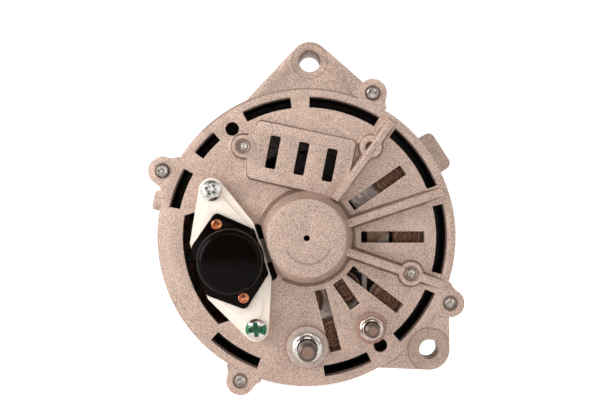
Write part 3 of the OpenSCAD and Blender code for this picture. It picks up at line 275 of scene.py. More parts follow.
def flange_nut(centre, front, height, across, flange_r, bore, sides=144, cone_rows=9):
    """Hexagon nut on a conical flange, from its front face at depth front. Above the flange the radii are cut back to
    the hexagon, apothem / cos(angle within one sixth); the cone, t from 0 at its foot to 1 at the rim, drops 0.62 for
    each unit outwards and is rounded at both ends."""
    a = full_turn(sides)[None, :]
    half = across / 2
    corner = across / np.sqrt(3)
    hexagon = half / np.cos((a + np.pi / 6) % (np.pi / 3) - np.pi / 6)
    foot = height - 1.5
    # radius and depth of the bore's two rings, then of the rings that the hexagon cuts
    bore_rows = np.array([[bore, height], [bore, 0.35]])
    cut_rows = np.array([[bore + 0.3, 0.06], [half - 0.5, 0.0], [half - 0.1, 0.08], [half + 0.2, 0.3],
                         [corner - 0.12, 0.62], [corner, 0.85], [corner, foot - 0.75]])
    t = np.linspace(0, 1, cone_rows)[:, None]
    inner = np.minimum(corner, hexagon)
    cone = inner + (flange_r - inner) * t
    cone_y = foot - 0.62 * (flange_r - cone) + 6.0 * np.clip(t - 0.8, 0, 1) ** 2 - 0.7 * np.clip(0.25 - t, 0, 1)
    rim_rows = np.array([[flange_r, height - 0.3], [flange_r - 0.15, height], [bore, height]])
    r = [bore_rows[:, :1] + 0 * a, np.minimum(cut_rows[:, :1], hexagon), cone, rim_rows[:, :1] + 0 * a]
    y = [bore_rows[:, 1:] + 0 * a, cut_rows[:, 1:] + 0 * a, cone_y, rim_rows[:, 1:] + 0 * a]
    return turned(centre, np.concatenate(r), front + np.concatenate(y), a)


def rib_height(x, rise):
    """A rib's height falls evenly from rise at radius RIB_RUN[0] to RIB_LOW at radius RIB_RUN[1]."""
    return rise + (RIB_LOW - rise) * (x - RIB_RUN[0]) / (RIB_RUN[1] - RIB_RUN[0])


def rib_path(angle, r0, r1, half, steps=40):
    """Foot of one rib: out along its left side, round its end and back, and the radius of every point."""
    along = np.linspace(r0, r1, steps)
    turn = np.radians(np.linspace(90, -90, 13))[1:-1]
    x = np.concatenate([along, r1 + half * np.cos(turn), along[::-1]])
    z = np.concatenate([np.full(steps, half), half * np.sin(turn), np.full(steps, -half)])
    return np.stack(spun(x, z, angle), -1)[::-1], x[::-1]


def rib_crown(angle, r0, r1, half, rise, steps=60, across=13):
    """Rounded top of one rib: across it, t from -1 to 1, it stands at height - 0.9 + 1.3 sqrt(1 - t^2), and its half
    width closes like an ellipse over the last 1.6 at both ends."""
    x = np.linspace(r0, r1, steps)[:, None]
    t = np.sin(np.linspace(-np.pi / 2, np.pi / 2, across))[None, :]
    end = np.clip(np.minimum(x - r0, r1 - x) / 1.6, 0, 1)
    close = np.sqrt(end * (2 - end))
    y = -(rib_height(x, rise) - 0.9 + 1.3 * np.sqrt(np.clip(1 - t ** 2, 0, 1)) * close)
    px, pz = spun(x, half * t * close, angle)
    return np.stack([px, y, pz], -1).reshape(-1, 3), grid_faces(steps, across)


def joined(parts):
    """Several surfaces as one list of points and one of faces."""
    starts = np.cumsum([0] + [len(p) for p, _ in parts[:-1]])
    return np.concatenate([p for p, _ in parts]), np.concatenate([f + s for (_, f), s in zip(parts, starts)])


# ---------------------------------------------------------------- pieces

# metres within which a surface's poles and a solid's points are one, angles within which a solid's triangles are one
# face and from which its edges are rounded, and the angle in degrees that leaves a piece smooth all over
POLES_WITHIN = 1e-7
POINTS_WITHIN = 2e-6
FLAT_WITHIN = math.radians(0.6)
BEVEL_FROM = math.radians(38.0)
NO_SHARP_EDGES = 180.0


def worked(mesh, within, finish):
    """Merges a mesh's doubled points and runs one more step on it."""
    bm = bmesh.new()
    bm.from_mesh(mesh)
    bmesh.ops.remove_doubles(bm, verts=bm.verts, dist=within)
    finish(bm)
    bm.to_mesh(mesh)
    bm.free()


def finish_piece(piece, node, material, sharp):
    """Puts a piece in the scene, dresses it and lets it ride where its node rides."""
    bpy.context.scene.collection.objects.link(piece)
    piece.data.materials.clear()
    piece.data.materials.append(material)
    piece.data.polygons.foreach_set("use_smooth", np.ones(len(piece.data.polygons), dtype=bool))
    piece.data.set_sharp_from_angle(angle=math.radians(sharp))
    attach(piece, BODY_OF[node])
    return piece


def surface_piece(name, parts, node, material, sharp, replaces=True, foot=None):
    """A piece from worked-out surfaces in shaft millimetres. Poles are merged and normals turned outwards. Edges of
    more than sharp degrees stay sharp. foot is a value per point, kept as the attribute of that name."""
    points, faces = joined(parts)
    mesh = bpy.data.meshes.new(name)
    mesh.from_pydata(place(points), [], faces.tolist())
    if foot is not None:
        mesh.attributes.new("foot", "FLOAT", "POINT").data.foreach_set("value", foot.astype(np.float32))
    worked(mesh, POLES_WITHIN, lambda bm: bmesh.ops.recalc_face_normals(bm, faces=bm.faces))
    piece = finish_piece(bpy.data.objects.new(name, mesh), node, material, sharp)
    if replaces:
        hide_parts(node)
    return piece


def softened(name, node, material, edge, segments=2):
    """A merged copy of a solid, with its flat triangles joined into whole faces and its sharp edges rounded by edge
    millimetres."""
    mesh = frame["nodes"][node].data.copy()
    mesh.name = name
    worked(mesh, POINTS_WITHIN,
           lambda bm: bmesh.ops.dissolve_limit(bm, angle_limit=FLAT_WITHIN, verts=bm.verts, edges=bm.edges))
    piece = finish_piece(bpy.data.objects.new(name, mesh), node, material, NO_SHARP_EDGES)
    bevel = piece.modifiers.new("rounded edges", "BEVEL")
    bevel.width = edge * MM
    bevel.segments = segments
    bevel.limit_method = "ANGLE"
    bevel.angle_limit = BEVEL_FROM
    bevel.use_clamp_overlap = True
    bevel.harden_normals = True
    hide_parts(node)


def dress(node, material):
    """Gives a solid that stays its worked finish."""
    piece = frame["nodes"][node]
    if not piece.material_slots:
        piece.data.materials.append(material)
    for held in piece.material_slots:
        held.material = material


# ---------------------------------------------------------------- shader groups

# the period of a Wave texture of scale 1, and the relief of pressed ridges, of laminations and of sand under tool
# marks, against that of plain sand grain
WAVE_PERIOD = math.pi / 10
RIDGE_RELIEF, STRIP_RELIEF, SAND_UNDER_RINGS = 2.5, 1.4, 0.35


class Level:
    """A number that changes over a surface, the output of a node. Arithmetic on it adds Math nodes to its tree, and
    a | b is the larger of the two."""

    def __init__(self, tree, socket):
        self.tree, self.socket = tree, socket

    def __add__(self, other):
        return maths(self.tree, "ADD", self, other)

    def __sub__(self, other):
        return maths(self.tree, "SUBTRACT", self, other)

    def __rsub__(self, other):
        return maths(self.tree, "SUBTRACT", other, self)

    def __mul__(self, other):
        return maths(self.tree, "MULTIPLY", self, other)

    def __truediv__(self, other):
        return maths(self.tree, "DIVIDE", self, other)

    def __rtruediv__(self, other):
        return maths(self.tree, "DIVIDE", other, self)

    def __or__(self, other):
        return maths(self.tree, "MAXIMUM", self, other)

    def __lt__(self, other):
        return maths(self.tree, "LESS_THAN", self, other)

    def __gt__(self, other):
        return maths(self.tree, "GREATER_THAN", self, other)

    def __abs__(self):
        return maths(self.tree, "ABSOLUTE", self)


def feed(tree, socket, value):
    """Links an input to a Level or to another socket, or sets its value."""
    value = value.socket if isinstance(value, Level) else value
    if isinstance(value, bpy.types.NodeSocket):
        tree.links.new(value, socket)
    else:
        socket.default_value = value


def add_node(tree, kind, inputs=None, **settings):
    """One shader node with its inputs fed."""
    node = tree.nodes.new("ShaderNode" + kind)
    for key, value in settings.items():
        setattr(node, key, value)
    for key, value in (inputs or {}).items():
        feed(tree, node.inputs[key], value)
    return node


def level(tree, kind, inputs=None, output=0, **settings):
    """One output of a new node, as a Level."""
    return Level(tree, add_node(tree, kind, inputs, **settings).outputs[output])


def levels(tree, node):
    """All outputs of a node by name, as Levels."""
    return {socket.name: Level(tree, socket) for socket in node.outputs}


def maths(tree, operation, *values, clamp=False):
    """A Math node's result."""
    return level(tree, "Math", dict(enumerate(values)), operation=operation, use_clamp=clamp)


def spread(value, low, high, out_low=0.0, out_high=1.0):
    """Maps low..high to out_low..out_high and holds it there."""
    return level(value.tree, "MapRange", {"Value": value, "From Min": low, "From Max": high,
                                          "To Min": out_low, "To Max": out_high}, "Result")


def noise(tree, vector, scale, detail=3.0, roughness=0.6):
    """Fractal noise from 0 to 1."""
    return level(tree, "TexNoise", {"Vector": vector, "Scale": scale, "Detail": detail, "Roughness": roughness}, "Fac")


def axes(tree, vector):
    """x, y and z of a vector."""
    return [Level(tree, socket) for socket in add_node(tree, "SeparateXYZ", {0: vector}).outputs]


def hypot(a, b):
    """sqrt(a^2 + b^2)."""
    return maths(a.tree, "SQRT", a * a + b * b)


def mix_colour(tree, factor, a, b):
    """Colour a where the factor is 0 and b where it is 1."""
    node = add_node(tree, "Mix", {0: factor}, data_type="RGBA")
    for index, colour in ((6, a), (7, b)):
        feed(tree, node.inputs[index], (*colour, 1.0) if isinstance(colour, tuple) else colour)
    return node.outputs[2]


def object_place(tree):
    """Object coordinates, which are the frame's, since every piece sits at the origin."""
    return add_node(tree, "TexCoord").outputs["Object"]


def centred(tree, x=0.0, z=0.0):
    """Object coordinates with the depth axis through a place given in shaft millimetres."""
    shift = place([x, 0.0, z])
    return add_node(tree, "Mapping", {"Vector": object_place(tree), "Location": (-shift[0], 0.0, -shift[2])}).outputs[0]


def new_group(name, outputs, **numbers):
    """A node group that reads a Vector and the named numbers and puts out the named numbers. Gives the group, its
    inputs as Levels and its outputs' sockets."""
    group = bpy.data.node_groups.new(name, "ShaderNodeTree")
    group.interface.new_socket(name="Vector", in_out="INPUT", socket_type="NodeSocketVector")
    for title, value in numbers.items():
        title = title.replace("_", " ")
        group.interface.new_socket(name=title, in_out="INPUT", socket_type="NodeSocketFloat").default_value = value
    for title in outputs:
        group.interface.new_socket(name=title, in_out="OUTPUT", socket_type="NodeSocketFloat")
    given = levels(group, group.nodes.new("NodeGroupInput"))
    return group, given, group.nodes.new("NodeGroupOutput").inputs


def grain_group(name):
    """Sand grain of a casting: fine noise and the cells of the sand, with slow patches of tint. The pattern is
    turned, so that no flat face of the part lies along the noise's own lattice."""
    group, given, out = new_group(name, ("Height", "Tint"), Scale=1400.0)
    scale = given["Scale"]
    v = add_node(group, "Mapping", {"Vector": given["Vector"], "Rotation": (0.61, 0.47, 0.83)}).outputs[0]
    fine = noise(group, v, scale, 4.0, 0.7)
    cells = level(group, "TexVoronoi", {"Vector": v, "Scale": scale * 0.8}, "Distance")
    slow = noise(group, v, scale * 0.035, 3.0, 0.55)
    speckle = spread(noise(group, v, scale * 0.62, 3.0, 0.65), 0.40, 0.60)
    feed(group, out["Height"], fine * 0.6 + cells * 0.5)
    feed(group, out["Tint"], slow * 0.25 + speckle * 0.75)
    return group


def edge_wear_highlight_group(name):
    """Lighter edges: the surface's convexity, broken up by noise. On the cast aluminium they are painted highlight; on
    the other finishes, worn edges.
    """
    group, given, out = new_group(name, ("Mask",), Scale=300.0, Reach=0.08)
    flat = 0.505
    edge = spread(level(group, "NewGeometry", output="Pointiness"), flat, given["Reach"] + flat)
    feed(group, out["Mask"], edge * spread(noise(group, given["Vector"], given["Scale"]), 0.35, 0.62))
    return group


def dust_group(name):
    """Dust and dried oil in slow patches, for tinting and dulling a surface."""
    group, given, out = new_group(name, ("Mask",), Scale=60.0, Cover=0.5)
    low = 0.85 - given["Cover"] * 0.6
    feed(group, out["Mask"], spread(noise(group, given["Vector"], given["Scale"], 5.0, 0.65), low, low + 0.3))
    return group


def rings_group(name):
    """Tool marks of a lathe: fine rings about the depth axis, uneven in strength."""
    group, given, out = new_group(name, ("Height",), Pitch=0.0004)
    wave = level(group, "TexWave", {"Vector": given["Vector"], "Scale": WAVE_PERIOD / given["Pitch"], "Distortion": 0.4,
                                    "Detail": 1.0}, "Fac", wave_type="RINGS", rings_direction="Y")
    feed(group, out["Height"], wave * noise(group, given["Vector"], 220.0, 2.0))
    return group


def ring_of(group, distance, given):
    """1 at the given radius, falling to 0 over the half width."""
    return maths(group, "SUBTRACT", 1.0, abs(distance - given["Radius"]) / given["Half width"], clamp=True)


def mark_group(name):
    """A ring of a given radius about the depth axis, and the round face inside it."""
    group, given, out = new_group(name, ("Mask", "Inside"), Radius=0.01, Half_width=0.0003)
    x, _, z = axes(group, given["Vector"])
    distance = hypot(x, z)
    feed(group, out["Mask"], ring_of(group, distance, given))
    feed(group, out["Inside"], distance < given["Radius"])
    return group


def nearest_axis(group, vector, places):
    """Distance to the nearest of several axes that run in depth, each given as a radius and an angle."""
    x, _, z = axes(group, vector)
    nearest = None
    for radius, angle in places:
        px, pz = polar(radius, angle)
        spot = place([px, 0.0, pz])
        distance = hypot(x - float(spot[0]), z - float(spot[2]))
        nearest = distance if nearest is None else maths(group, "MINIMUM", nearest, distance)
    return nearest


def ridges_group(name):
    """Pressed ridges round the six diodes: a wave of the distance to the nearest diode's centre, which ends where
    the pressed plate ends."""
    group, given, out = new_group(name, ("Height", "Near"), Pitch=0.001, Reach=0.0078)
    nearest = nearest_axis(group, given["Vector"], DIODE_PLACES)
    near = nearest < given["Reach"]
    turn = nearest / given["Pitch"] * (2 * math.pi)
    wave = maths(group, "COSINE", turn) * 0.5 + 0.5
    feed(group, out["Height"], wave * near + (1.0 - near))
    feed(group, out["Near"], near)
    return group


def holes_group(name):
    """Painted shade: dark rings round the ends of the bolts and screws, where their holes sink into the casting."""
    group, given, out = new_group(name, ("Mask",), Radius=0.0029, Half_width=0.0009)
    places = [bolt[:2] for bolt in BOLT_PLACES + RECTIFIER_PLACES]
    feed(group, out["Mask"], ring_of(group, nearest_axis(group, given["Vector"], places), given))
    return group


GROUPS = {"sand grain": grain_group, "rubbed edges": edge_wear_highlight_group, "dust film": dust_group, "turned rings": rings_group,
          "ring mark": mark_group, "diode ridges": ridges_group, "oily holes": holes_group}


def use_group(tree, name, **values):
    """Places one of the shared groups in a material, and gives its outputs."""
    node = tree.nodes.new("ShaderNodeGroup")
    node.node_tree = bpy.data.node_groups.get(name) or GROUPS[name](name)
    for key, value in values.items():
        feed(tree, node.inputs[key.replace("_", " ")], value)
    return levels(tree, node)


def ring_mark(tree, centre, radius, half_width=0.3):
    """The ring mark about a place, in shaft millimetres."""
    return use_group(tree, "ring mark", Vector=centred(tree, *centre), Radius=radius * MM, Half_width=half_width * MM)


def scaled(colour, factor):
    """A lighter or darker tone of a colour."""
    return tuple(min(1.0, c * factor) for c in colour)


def new_finish(name, colour, dark, metallic, rough, grain, relief, bump, edge_wear_highlight=None, edge_amount=0.5, dust=0.0,
               dust_colour=(0.30, 0.25, 0.20), rings=0.0, ridges=0.0, plain=None, strips=0.0, coat=0.0, specular=0.5,
               touch=None):
    """A material whose colour runs between two tones with the grain, with lighter edges, dust and tool marks where they
    are asked for; the lighter edges are wear, and on the cast aluminium painted highlight. rough is the lowest and
    highest roughness, grain the grains per metre, and relief and the pitches of rings, ridges and strips are in
    millimetres. plain is a ridged plate's own colour away from its ridges, whose grooves are darkened as painted shade.
    touch(tree, look) changes what goes into Base Color, Metallic and Height."""
    if name in bpy.data.materials:
        return bpy.data.materials[name]
    material = bpy.data.materials.new(name)
    material.use_nodes = True
    tree = material.node_tree
    shader = tree.nodes["Principled BSDF"].inputs
    v = centred(tree)
    sand = use_group(tree, "sand grain", Vector=v, Scale=grain)
    base = mix_colour(tree, sand["Tint"], dark, colour)
    roughness = spread(sand["Tint"], 0.2, 0.8, rough[1], rough[0])
    height = sand["Height"]
    if rings:
        height = height * SAND_UNDER_RINGS + use_group(tree, "turned rings", Vector=v, Pitch=rings * MM)["Height"]
    if ridges:
        pressed = use_group(tree, "diode ridges", Vector=object_place(tree), Pitch=ridges * MM)
        height = height + pressed["Height"] * RIDGE_RELIEF
        # painted shade: the grooves between the pressed ridges are darkened
        base = mix_colour(tree, spread(pressed["Height"], 0.25, 0.75, 0.85, 0.0), base, scaled(dark, 0.25))
        if plain:
            flat = mix_colour(tree, sand["Tint"], scaled(plain, 0.62), plain)
            base = mix_colour(tree, pressed["Near"], flat, base)
    if strips:
        bands = level(tree, "TexWave", {"Vector": v, "Scale": WAVE_PERIOD / (strips * MM), "Distortion": 0.3}, "Fac",
                      bands_direction="Y")
        height = height + bands * STRIP_RELIEF
        base = mix_colour(tree, spread(bands, 0.1, 0.35, 0.55, 0.0), base, scaled(dark, 0.3))
    if dust:
        film = use_group(tree, "dust film", Vector=v, Cover=dust)["Mask"]
        base = mix_colour(tree, film * 0.55, base, dust_colour)
        roughness = maths(tree, "ADD", roughness, film * 0.15, clamp=True)
    if edge_wear_highlight:
        # lighter edges: wear, and on the cast aluminium painted highlight
        base = mix_colour(tree, use_group(tree, "rubbed edges", Vector=v)["Mask"] * edge_amount, base, edge_wear_highlight)
    look = {"Base Color": base, "Metallic": metallic, "Height": height}
    if touch:
        touch(tree, look)
    feed(tree, shader["Base Color"], look["Base Color"])
    feed(tree, shader["Metallic"], look["Metallic"])
    feed(tree, shader["Roughness"], roughness)
    feed(tree, shader["Normal"],
         add_node(tree, "Bump", {"Height": look["Height"], "Strength": bump, "Distance": relief * MM}).outputs[0])
    shader["Specular IOR Level"].default_value = specular
    if coat:
        shader["Coat Weight"].default_value = coat
        shader["Coat Roughness"].default_value = 0.12
    return material


def tinted(tree, look, mask, colour):
    """Mixes a colour into a finish where the mask is 1."""
    look["Base Color"] = mix_colour(tree, mask, look["Base Color"], colour)


# ---------------------------------------------------------------- finishes

# each gives its name, colour, dark tone, metallic and range of roughness, and then what new_finish() takes by name
# painted shade in the castings' recesses and creases
RECESS_SHADE = (0.115, 0.062, 0.043)
# painted shade inside the housings
INSIDE_SHADE = (0.012, 0.009, 0.007)
# painted shade on parts that lie deep in holes, recesses and behind the vents
DEEP_SHADE = (0.014, 0.010, 0.008)


def boss_arc(tree):
    """The faint arc on the face of the boss, which shows on its lower half only."""
    middle, face = (0.8, -1.0), -15.4
    _, y, z = axes(tree, centred(tree, *middle))
    return ring_mark(tree, middle, 9.8, 0.8)["Mask"] * (z < -3.5 * MM) * (y < depth_of(face))


def painted_recess_shade(tree):
    """Painted shade: dark rings round the bolt ends, where their holes sink into the casting, a dark line where the
    rear casting's rim meets the pivot ear, and streaks in the fillets at the foot of the raised parts. Thin dark rings
    run round the spot faces of both ears, and the pivot's spot face is a little darker inside. The lower ear's spot
    face is darkened more, as painted shade for light that falls off there."""
    x, y, z = axes(tree, centred(tree))
    # painted shade: dark rings round the bolt ends
    holes = use_group(tree, "oily holes", Vector=object_place(tree))["Mask"]
    # dark rings round the spot faces of the ears; the lower ear's spot face is darkened as painted shade
    adjuster, pivot = ring_mark(tree, ADJUSTER_POS, 9.2, 0.5), ring_mark(tree, (PIVOT[0], PIVOT[2]), 8.2, 0.5)
    at_ear = x > 43.0 * MM
    # painted shade: a dark line along the rear casting's rim where it meets the pivot ear
    seam = ring_mark(tree, SHAFT, RIM_RADIUS, 0.7)["Mask"]
    at_seam = (z > 45.0 * MM) * (abs(x + 11.5 * MM) < 33.5 * MM) * (y < depth_of(2.5))
    # painted shade in the fillets at the foot of the raised parts, broken into streaks
    streak = spread(noise(tree, centred(tree), 260.0), 0.3, 0.6, 0.55, 1.0)
    foot = level(tree, "Attribute", output="Fac", attribute_name="foot")
    return (holes * 0.85 | adjuster["Mask"] * 0.6 | adjuster["Inside"] * at_ear * 0.22 | pivot["Mask"] * 0.5
            | pivot["Inside"] * 0.1 | seam * at_seam * 0.7 | foot * streak)


def shaded_inside(tree):
    """Painted shade: the inside of both housings, between their walls, is made near black."""
    _, y, _ = axes(tree, centred(tree))
    inside = ring_mark(tree, SHAFT, INNER_RADIUS)["Inside"]
    return inside * (y > depth_of(INNER_WALLS[0])) * (y < depth_of(INNER_WALLS[1])) * 0.96


def cast_aluminium():
    """Sand-cast aluminium with a fine sparkle, a faint arc on the boss, painted highlight along its edges, painted
    shade in its recesses and creases, and an inside painted near black as shade.
    """
    finishes = bpy.context.scene.alternator_finishes
    colour = tuple(finishes.cast_colour)

    def touch(tree, look):
        arc = boss_arc(tree)
        look["Height"] = look["Height"] - arc * 1.1
        tinted(tree, look, arc * 0.6, scaled(colour, 0.35))
        # painted shade in the casting's recesses and creases
        tinted(tree, look, painted_recess_shade(tree), RECESS_SHADE)
        # painted shade: the housings' inside near black
        tinted(tree, look, shaded_inside(tree), INSIDE_SHADE)

    # the casting's lighter edges are painted highlight
    return new_finish("cast aluminium", scaled(colour, 1.5), scaled(colour, 0.38), 0.55, (0.36, 0.6),
                      grain=finishes.grain_scale, relief=0.16, bump=0.85, edge_wear_highlight=scaled(colour, 1.4), edge_amount=0.3,
                      dust=0.2, dust_colour=scaled(colour, 0.7), touch=touch)


def shaded_where(mask_of):
    """Painted shade, near black, where mask_of(x, y, z from the shaft) is 1."""
    def touch(tree, look):
        tinted(tree, look, mask_of(*axes(tree, centred(tree))) * 0.94, DEEP_SHADE)
    return touch


def zinc_steel():
    return new_finish("zinc plated steel", (0.46, 0.395, 0.345), (0.23, 0.19, 0.165), 0.95, (0.24, 0.42),
                      grain=900.0, relief=0.02, bump=0.3, edge_wear_highlight=(0.8, 0.78, 0.75), dust=0.2)


def oiled_screw_end():
    return new_finish("oiled screw end", (0.64, 0.56, 0.50), (0.15, 0.12, 0.10), 0.9, (0.2, 0.38),
                      grain=1500.0, relief=0.03, bump=0.5, edge_wear_highlight=(0.7, 0.66, 0.62), edge_amount=0.7)


def bright_steel():
    return new_finish("bright plated steel", (0.80, 0.77, 0.74), (0.55, 0.52, 0.49), 1.0, (0.10, 0.22),
                      grain=700.0, relief=0.01, bump=0.2, edge_wear_highlight=(0.9, 0.88, 0.86), dust=0.12)


def screw_head_steel():
    """Bright steel; sealing lacquer is smeared across the lower screw's head in a bow tie, |z| < 0.42 |x| + an
    uneven edge."""
    def touch(tree, look):
        x, _, z = axes(tree, centred(tree, *regulator_point(*LOWER_SCREW)))
        edge = noise(tree, centred(tree), 700.0, 2.0) * (1.2 * MM) + 0.2 * MM
        smear = spread(abs(x) * 0.42 + edge - abs(z + x * 0.08), -0.1 * MM, 0.3 * MM)
        green = smear * (abs(z) < 6.0 * MM) * (abs(x) < 6.0 * MM)
        tinted(tree, look, green, (0.008, 0.16, 0.055))
        look["Metallic"] = 1.0 - green

    return new_finish("lacquered screw heads", (0.80, 0.77, 0.74), (0.55, 0.52, 0.49), 1.0, (0.10, 0.22),
                      grain=700.0, relief=0.01, bump=0.2, touch=touch)


def washer_steel():
    return new_finish("dull plated washer", (0.56, 0.44, 0.375), (0.40, 0.31, 0.265), 0.3, (0.4, 0.56),
                      grain=1100.0, relief=0.02, bump=0.3, edge_wear_highlight=(0.8, 0.7, 0.62), dust=0.3,
                      dust_colour=(0.4, 0.3, 0.25))


def yellowed_steel():
    return new_finish("yellowed nut", (0.72, 0.62, 0.56), (0.46, 0.37, 0.32), 0.95, (0.12, 0.24),
                      grain=1200.0, relief=0.02, bump=0.35, edge_wear_highlight=(0.66, 0.5, 0.42), edge_amount=0.7, dust=0.25,
                      dust_colour=(0.14, 0.09, 0.065))


def stud_brass():
    """Dark thread, whose sawn tips are a lighter brown."""
    def touch(tree, look):
        for spot, radius in ((OUTPUT_POS, 2.3), (FIELD_POS, 1.8)):
            tinted(tree, look, ring_mark(tree, spot, radius)["Inside"] * 0.8, (0.34, 0.20, 0.15))

    return new_finish("dark stud thread", (0.15, 0.105, 0.085), (0.08, 0.058, 0.048), 0.7, (0.22, 0.4),
                      grain=1200.0, relief=0.02, bump=0.3, edge_wear_highlight=(0.5, 0.42, 0.37), touch=touch)


def shaft_steel():
    """Ground steel; the end in the rear boss, seen through the boss's vent hole, is painted black as shade."""
    return new_finish("ground shaft steel", (0.50, 0.49, 0.48), (0.30, 0.29, 0.28), 1.0, (0.2, 0.36),
                      grain=800.0, relief=0.01, bump=0.25, rings=0.3, dust=0.3,
                      touch=shaded_where(lambda x, y, z: y < depth_of(1.0)))


def pulley_steel():
    return new_finish("turned pulley steel", (0.42, 0.41, 0.40), (0.24, 0.23, 0.225), 0.95, (0.26, 0.44),
                      grain=900.0, relief=0.03, bump=0.35, rings=0.45, edge_wear_highlight=(0.62, 0.6, 0.58), dust=0.35)


def forged_steel():
    return new_finish("machined pole steel", (0.26, 0.24, 0.23), (0.13, 0.115, 0.11), 0.85, (0.38, 0.58),
                      grain=1100.0, relief=0.05, bump=0.45, rings=0.6, edge_wear_highlight=(0.42, 0.4, 0.38), dust=0.45,
                      dust_colour=(0.16, 0.08, 0.045))


def laminated_steel():
    return new_finish("varnished laminations", (0.10, 0.085, 0.075), (0.04, 0.034, 0.03), 0.6, (0.36, 0.55),
                      grain=1200.0, relief=0.12, bump=0.5, strips=0.7, dust=0.4, dust_colour=(0.13, 0.07, 0.04))


def bearing_steel():
    return new_finish("polished bearing steel", (0.66, 0.66, 0.67), (0.5, 0.5, 0.51), 1.0, (0.08, 0.18),
                      grain=600.0, relief=0.01, bump=0.12, rings=0.3)


def cage_brass():
    return new_finish("pressed cage brass", (0.50, 0.36, 0.17), (0.32, 0.22, 0.1), 1.0, (0.25, 0.4),
                      grain=900.0, relief=0.02, bump=0.3)


def bus_brass():
    """Browned brass; the strip is tinned to a light grey where x - 1.4 z is over 33.7 mm."""
    def touch(tree, look):
        x, _, z = axes(tree, centred(tree))
        tinted(tree, look, spread(x - z * 1.4, 33.4 * MM, 34.0 * MM) * 0.9, (0.50, 0.41, 0.37))

    return new_finish("stamped brass strip", (0.44, 0.23, 0.13), (0.24, 0.12, 0.07), 0.4, (0.3, 0.48),
                      grain=900.0, relief=0.03, bump=0.35, edge_wear_highlight=(0.42, 0.32, 0.22), dust=0.4,
                      dust_colour=(0.1, 0.07, 0.05), touch=touch)


def turned_copper():
    return new_finish("turned copper", (0.60, 0.28, 0.15), (0.36, 0.15, 0.07), 1.0, (0.16, 0.34),
                      grain=800.0, relief=0.02, bump=0.3, rings=0.3, dust=0.2, dust_colour=(0.1, 0.06, 0.04))


def rivet_copper():
    return new_finish("upset copper", (0.62, 0.165, 0.06), (0.34, 0.075, 0.025), 0.9, (0.16, 0.3),
                      grain=1500.0, relief=0.03, bump=0.4, edge_wear_highlight=(1.0, 0.5, 0.3), edge_amount=0.9)


def diode_lacquer():
    return new_finish("baked diode can", (0.44, 0.235, 0.15), (0.22, 0.11, 0.07), 0.6, (0.3, 0.5),
                      grain=1300.0, relief=0.08, bump=0.6, ridges=1.05, edge_wear_highlight=(0.5, 0.28, 0.17), dust=0.4,
                      dust_colour=(0.12, 0.08, 0.055))


def sink_plate():
    """Pressed plate; behind the vent box, where it shows through the vent slots, it is painted black as shade."""
    return new_finish("stamped sink plate", (0.40, 0.235, 0.155), (0.2, 0.115, 0.075), 0.6, (0.36, 0.56),
                      grain=1000.0, relief=0.08, bump=0.5, ridges=1.05, plain=(0.74, 0.63, 0.58),
                      edge_wear_highlight=(0.5, 0.4, 0.32), dust=0.5, dust_colour=(0.1, 0.07, 0.05),
                      touch=shaded_where(lambda x, y, z: (z > 22.0 * MM) * (x < 17.0 * MM)))


# painted shade: the wire's colour is much darker than the copper red of real enamel, for wires seen only in the shade
# inside the housings
def winding_enamel():
    return new_finish("varnished winding wire", (0.15, 0.05, 0.022), (0.07, 0.022, 0.01), 0.45, (0.22, 0.42),
                      grain=1600.0, relief=0.03, bump=0.3, coat=0.5, dust=0.3, dust_colour=(0.1, 0.05, 0.03))


def fan_paint():
    return new_finish("black fan paint", (0.030, 0.030, 0.031), (0.014, 0.014, 0.014), 0.0, (0.32, 0.5),
                      grain=900.0, relief=0.04, bump=0.35, edge_wear_highlight=(0.28, 0.27, 0.26), edge_amount=0.6, dust=0.35,
                      dust_colour=(0.1, 0.09, 0.08))


def dark_moulding():
    return new_finish("dark phenolic moulding", (0.045, 0.036, 0.03), (0.022, 0.017, 0.014), 0.0, (0.4, 0.58),
                      grain=1500.0, relief=0.04, bump=0.35, edge_wear_highlight=(0.12, 0.1, 0.085), dust=0.3,
                      dust_colour=(0.1, 0.08, 0.065))


def black_moulding():
    """Black moulding; a thin grey line round the rim of the cap, broken up by noise, is a painted highlight."""
    def touch(tree, look):
        # painted highlight: a thin grey ring on the cap's rim
        rim = ring_mark(tree, regulator_point(0.0, 0.0), 13.7, 0.35)["Mask"]
        broken = spread(noise(tree, centred(tree), 90.0), 0.35, 0.65, 0.25, 1.0)
        tinted(tree, look, rim * broken, (0.13, 0.105, 0.095))

    return new_finish("semi-gloss black moulding", (0.0035, 0.002, 0.0013), (0.0022, 0.0013, 0.001), 0.0, (0.12, 0.2),
                      grain=1700.0, relief=0.01, bump=0.1, specular=0.07, touch=touch)


def ivory_moulding():
    """Ivory moulding; the brush box, deeper than the flange and nearer the shaft, is darkened as painted shade."""
    def brush_box(x, y, z):
        to_shaft, to_screw = polar(1.0, REGULATOR_ANGLE)
        u = x * float(to_shaft) + z * float(to_screw)
        return spread(y, depth_of(-0.6), depth_of(1.0)) | spread(u, -19.6 * MM, -19.0 * MM) * 0.93

    return new_finish("ivory moulding", tuple(bpy.context.scene.alternator_finishes.holder_colour), (0.93, 0.80, 0.69),
                      0.0, (0.34, 0.5), grain=900.0, relief=0.03, bump=0.2, edge_wear_highlight=(1.0, 0.92, 0.84), dust=0.15,
                      dust_colour=(0.74, 0.6, 0.49), touch=shaded_where(brush_box))


def pink_fibre():
    return new_finish("pink fibre", (0.47, 0.29, 0.235), (0.32, 0.175, 0.14), 0.0, (0.45, 0.6),
                      grain=1500.0, relief=0.04, bump=0.4, dust=0.2, dust_colour=(0.4, 0.3, 0.25))


def bobbin_nylon():
    return new_finish("glass-filled nylon", (0.55, 0.46, 0.30), (0.40, 0.33, 0.2), 0.0, (0.4, 0.55),
                      grain=1500.0, relief=0.03, bump=0.3, dust=0.3)


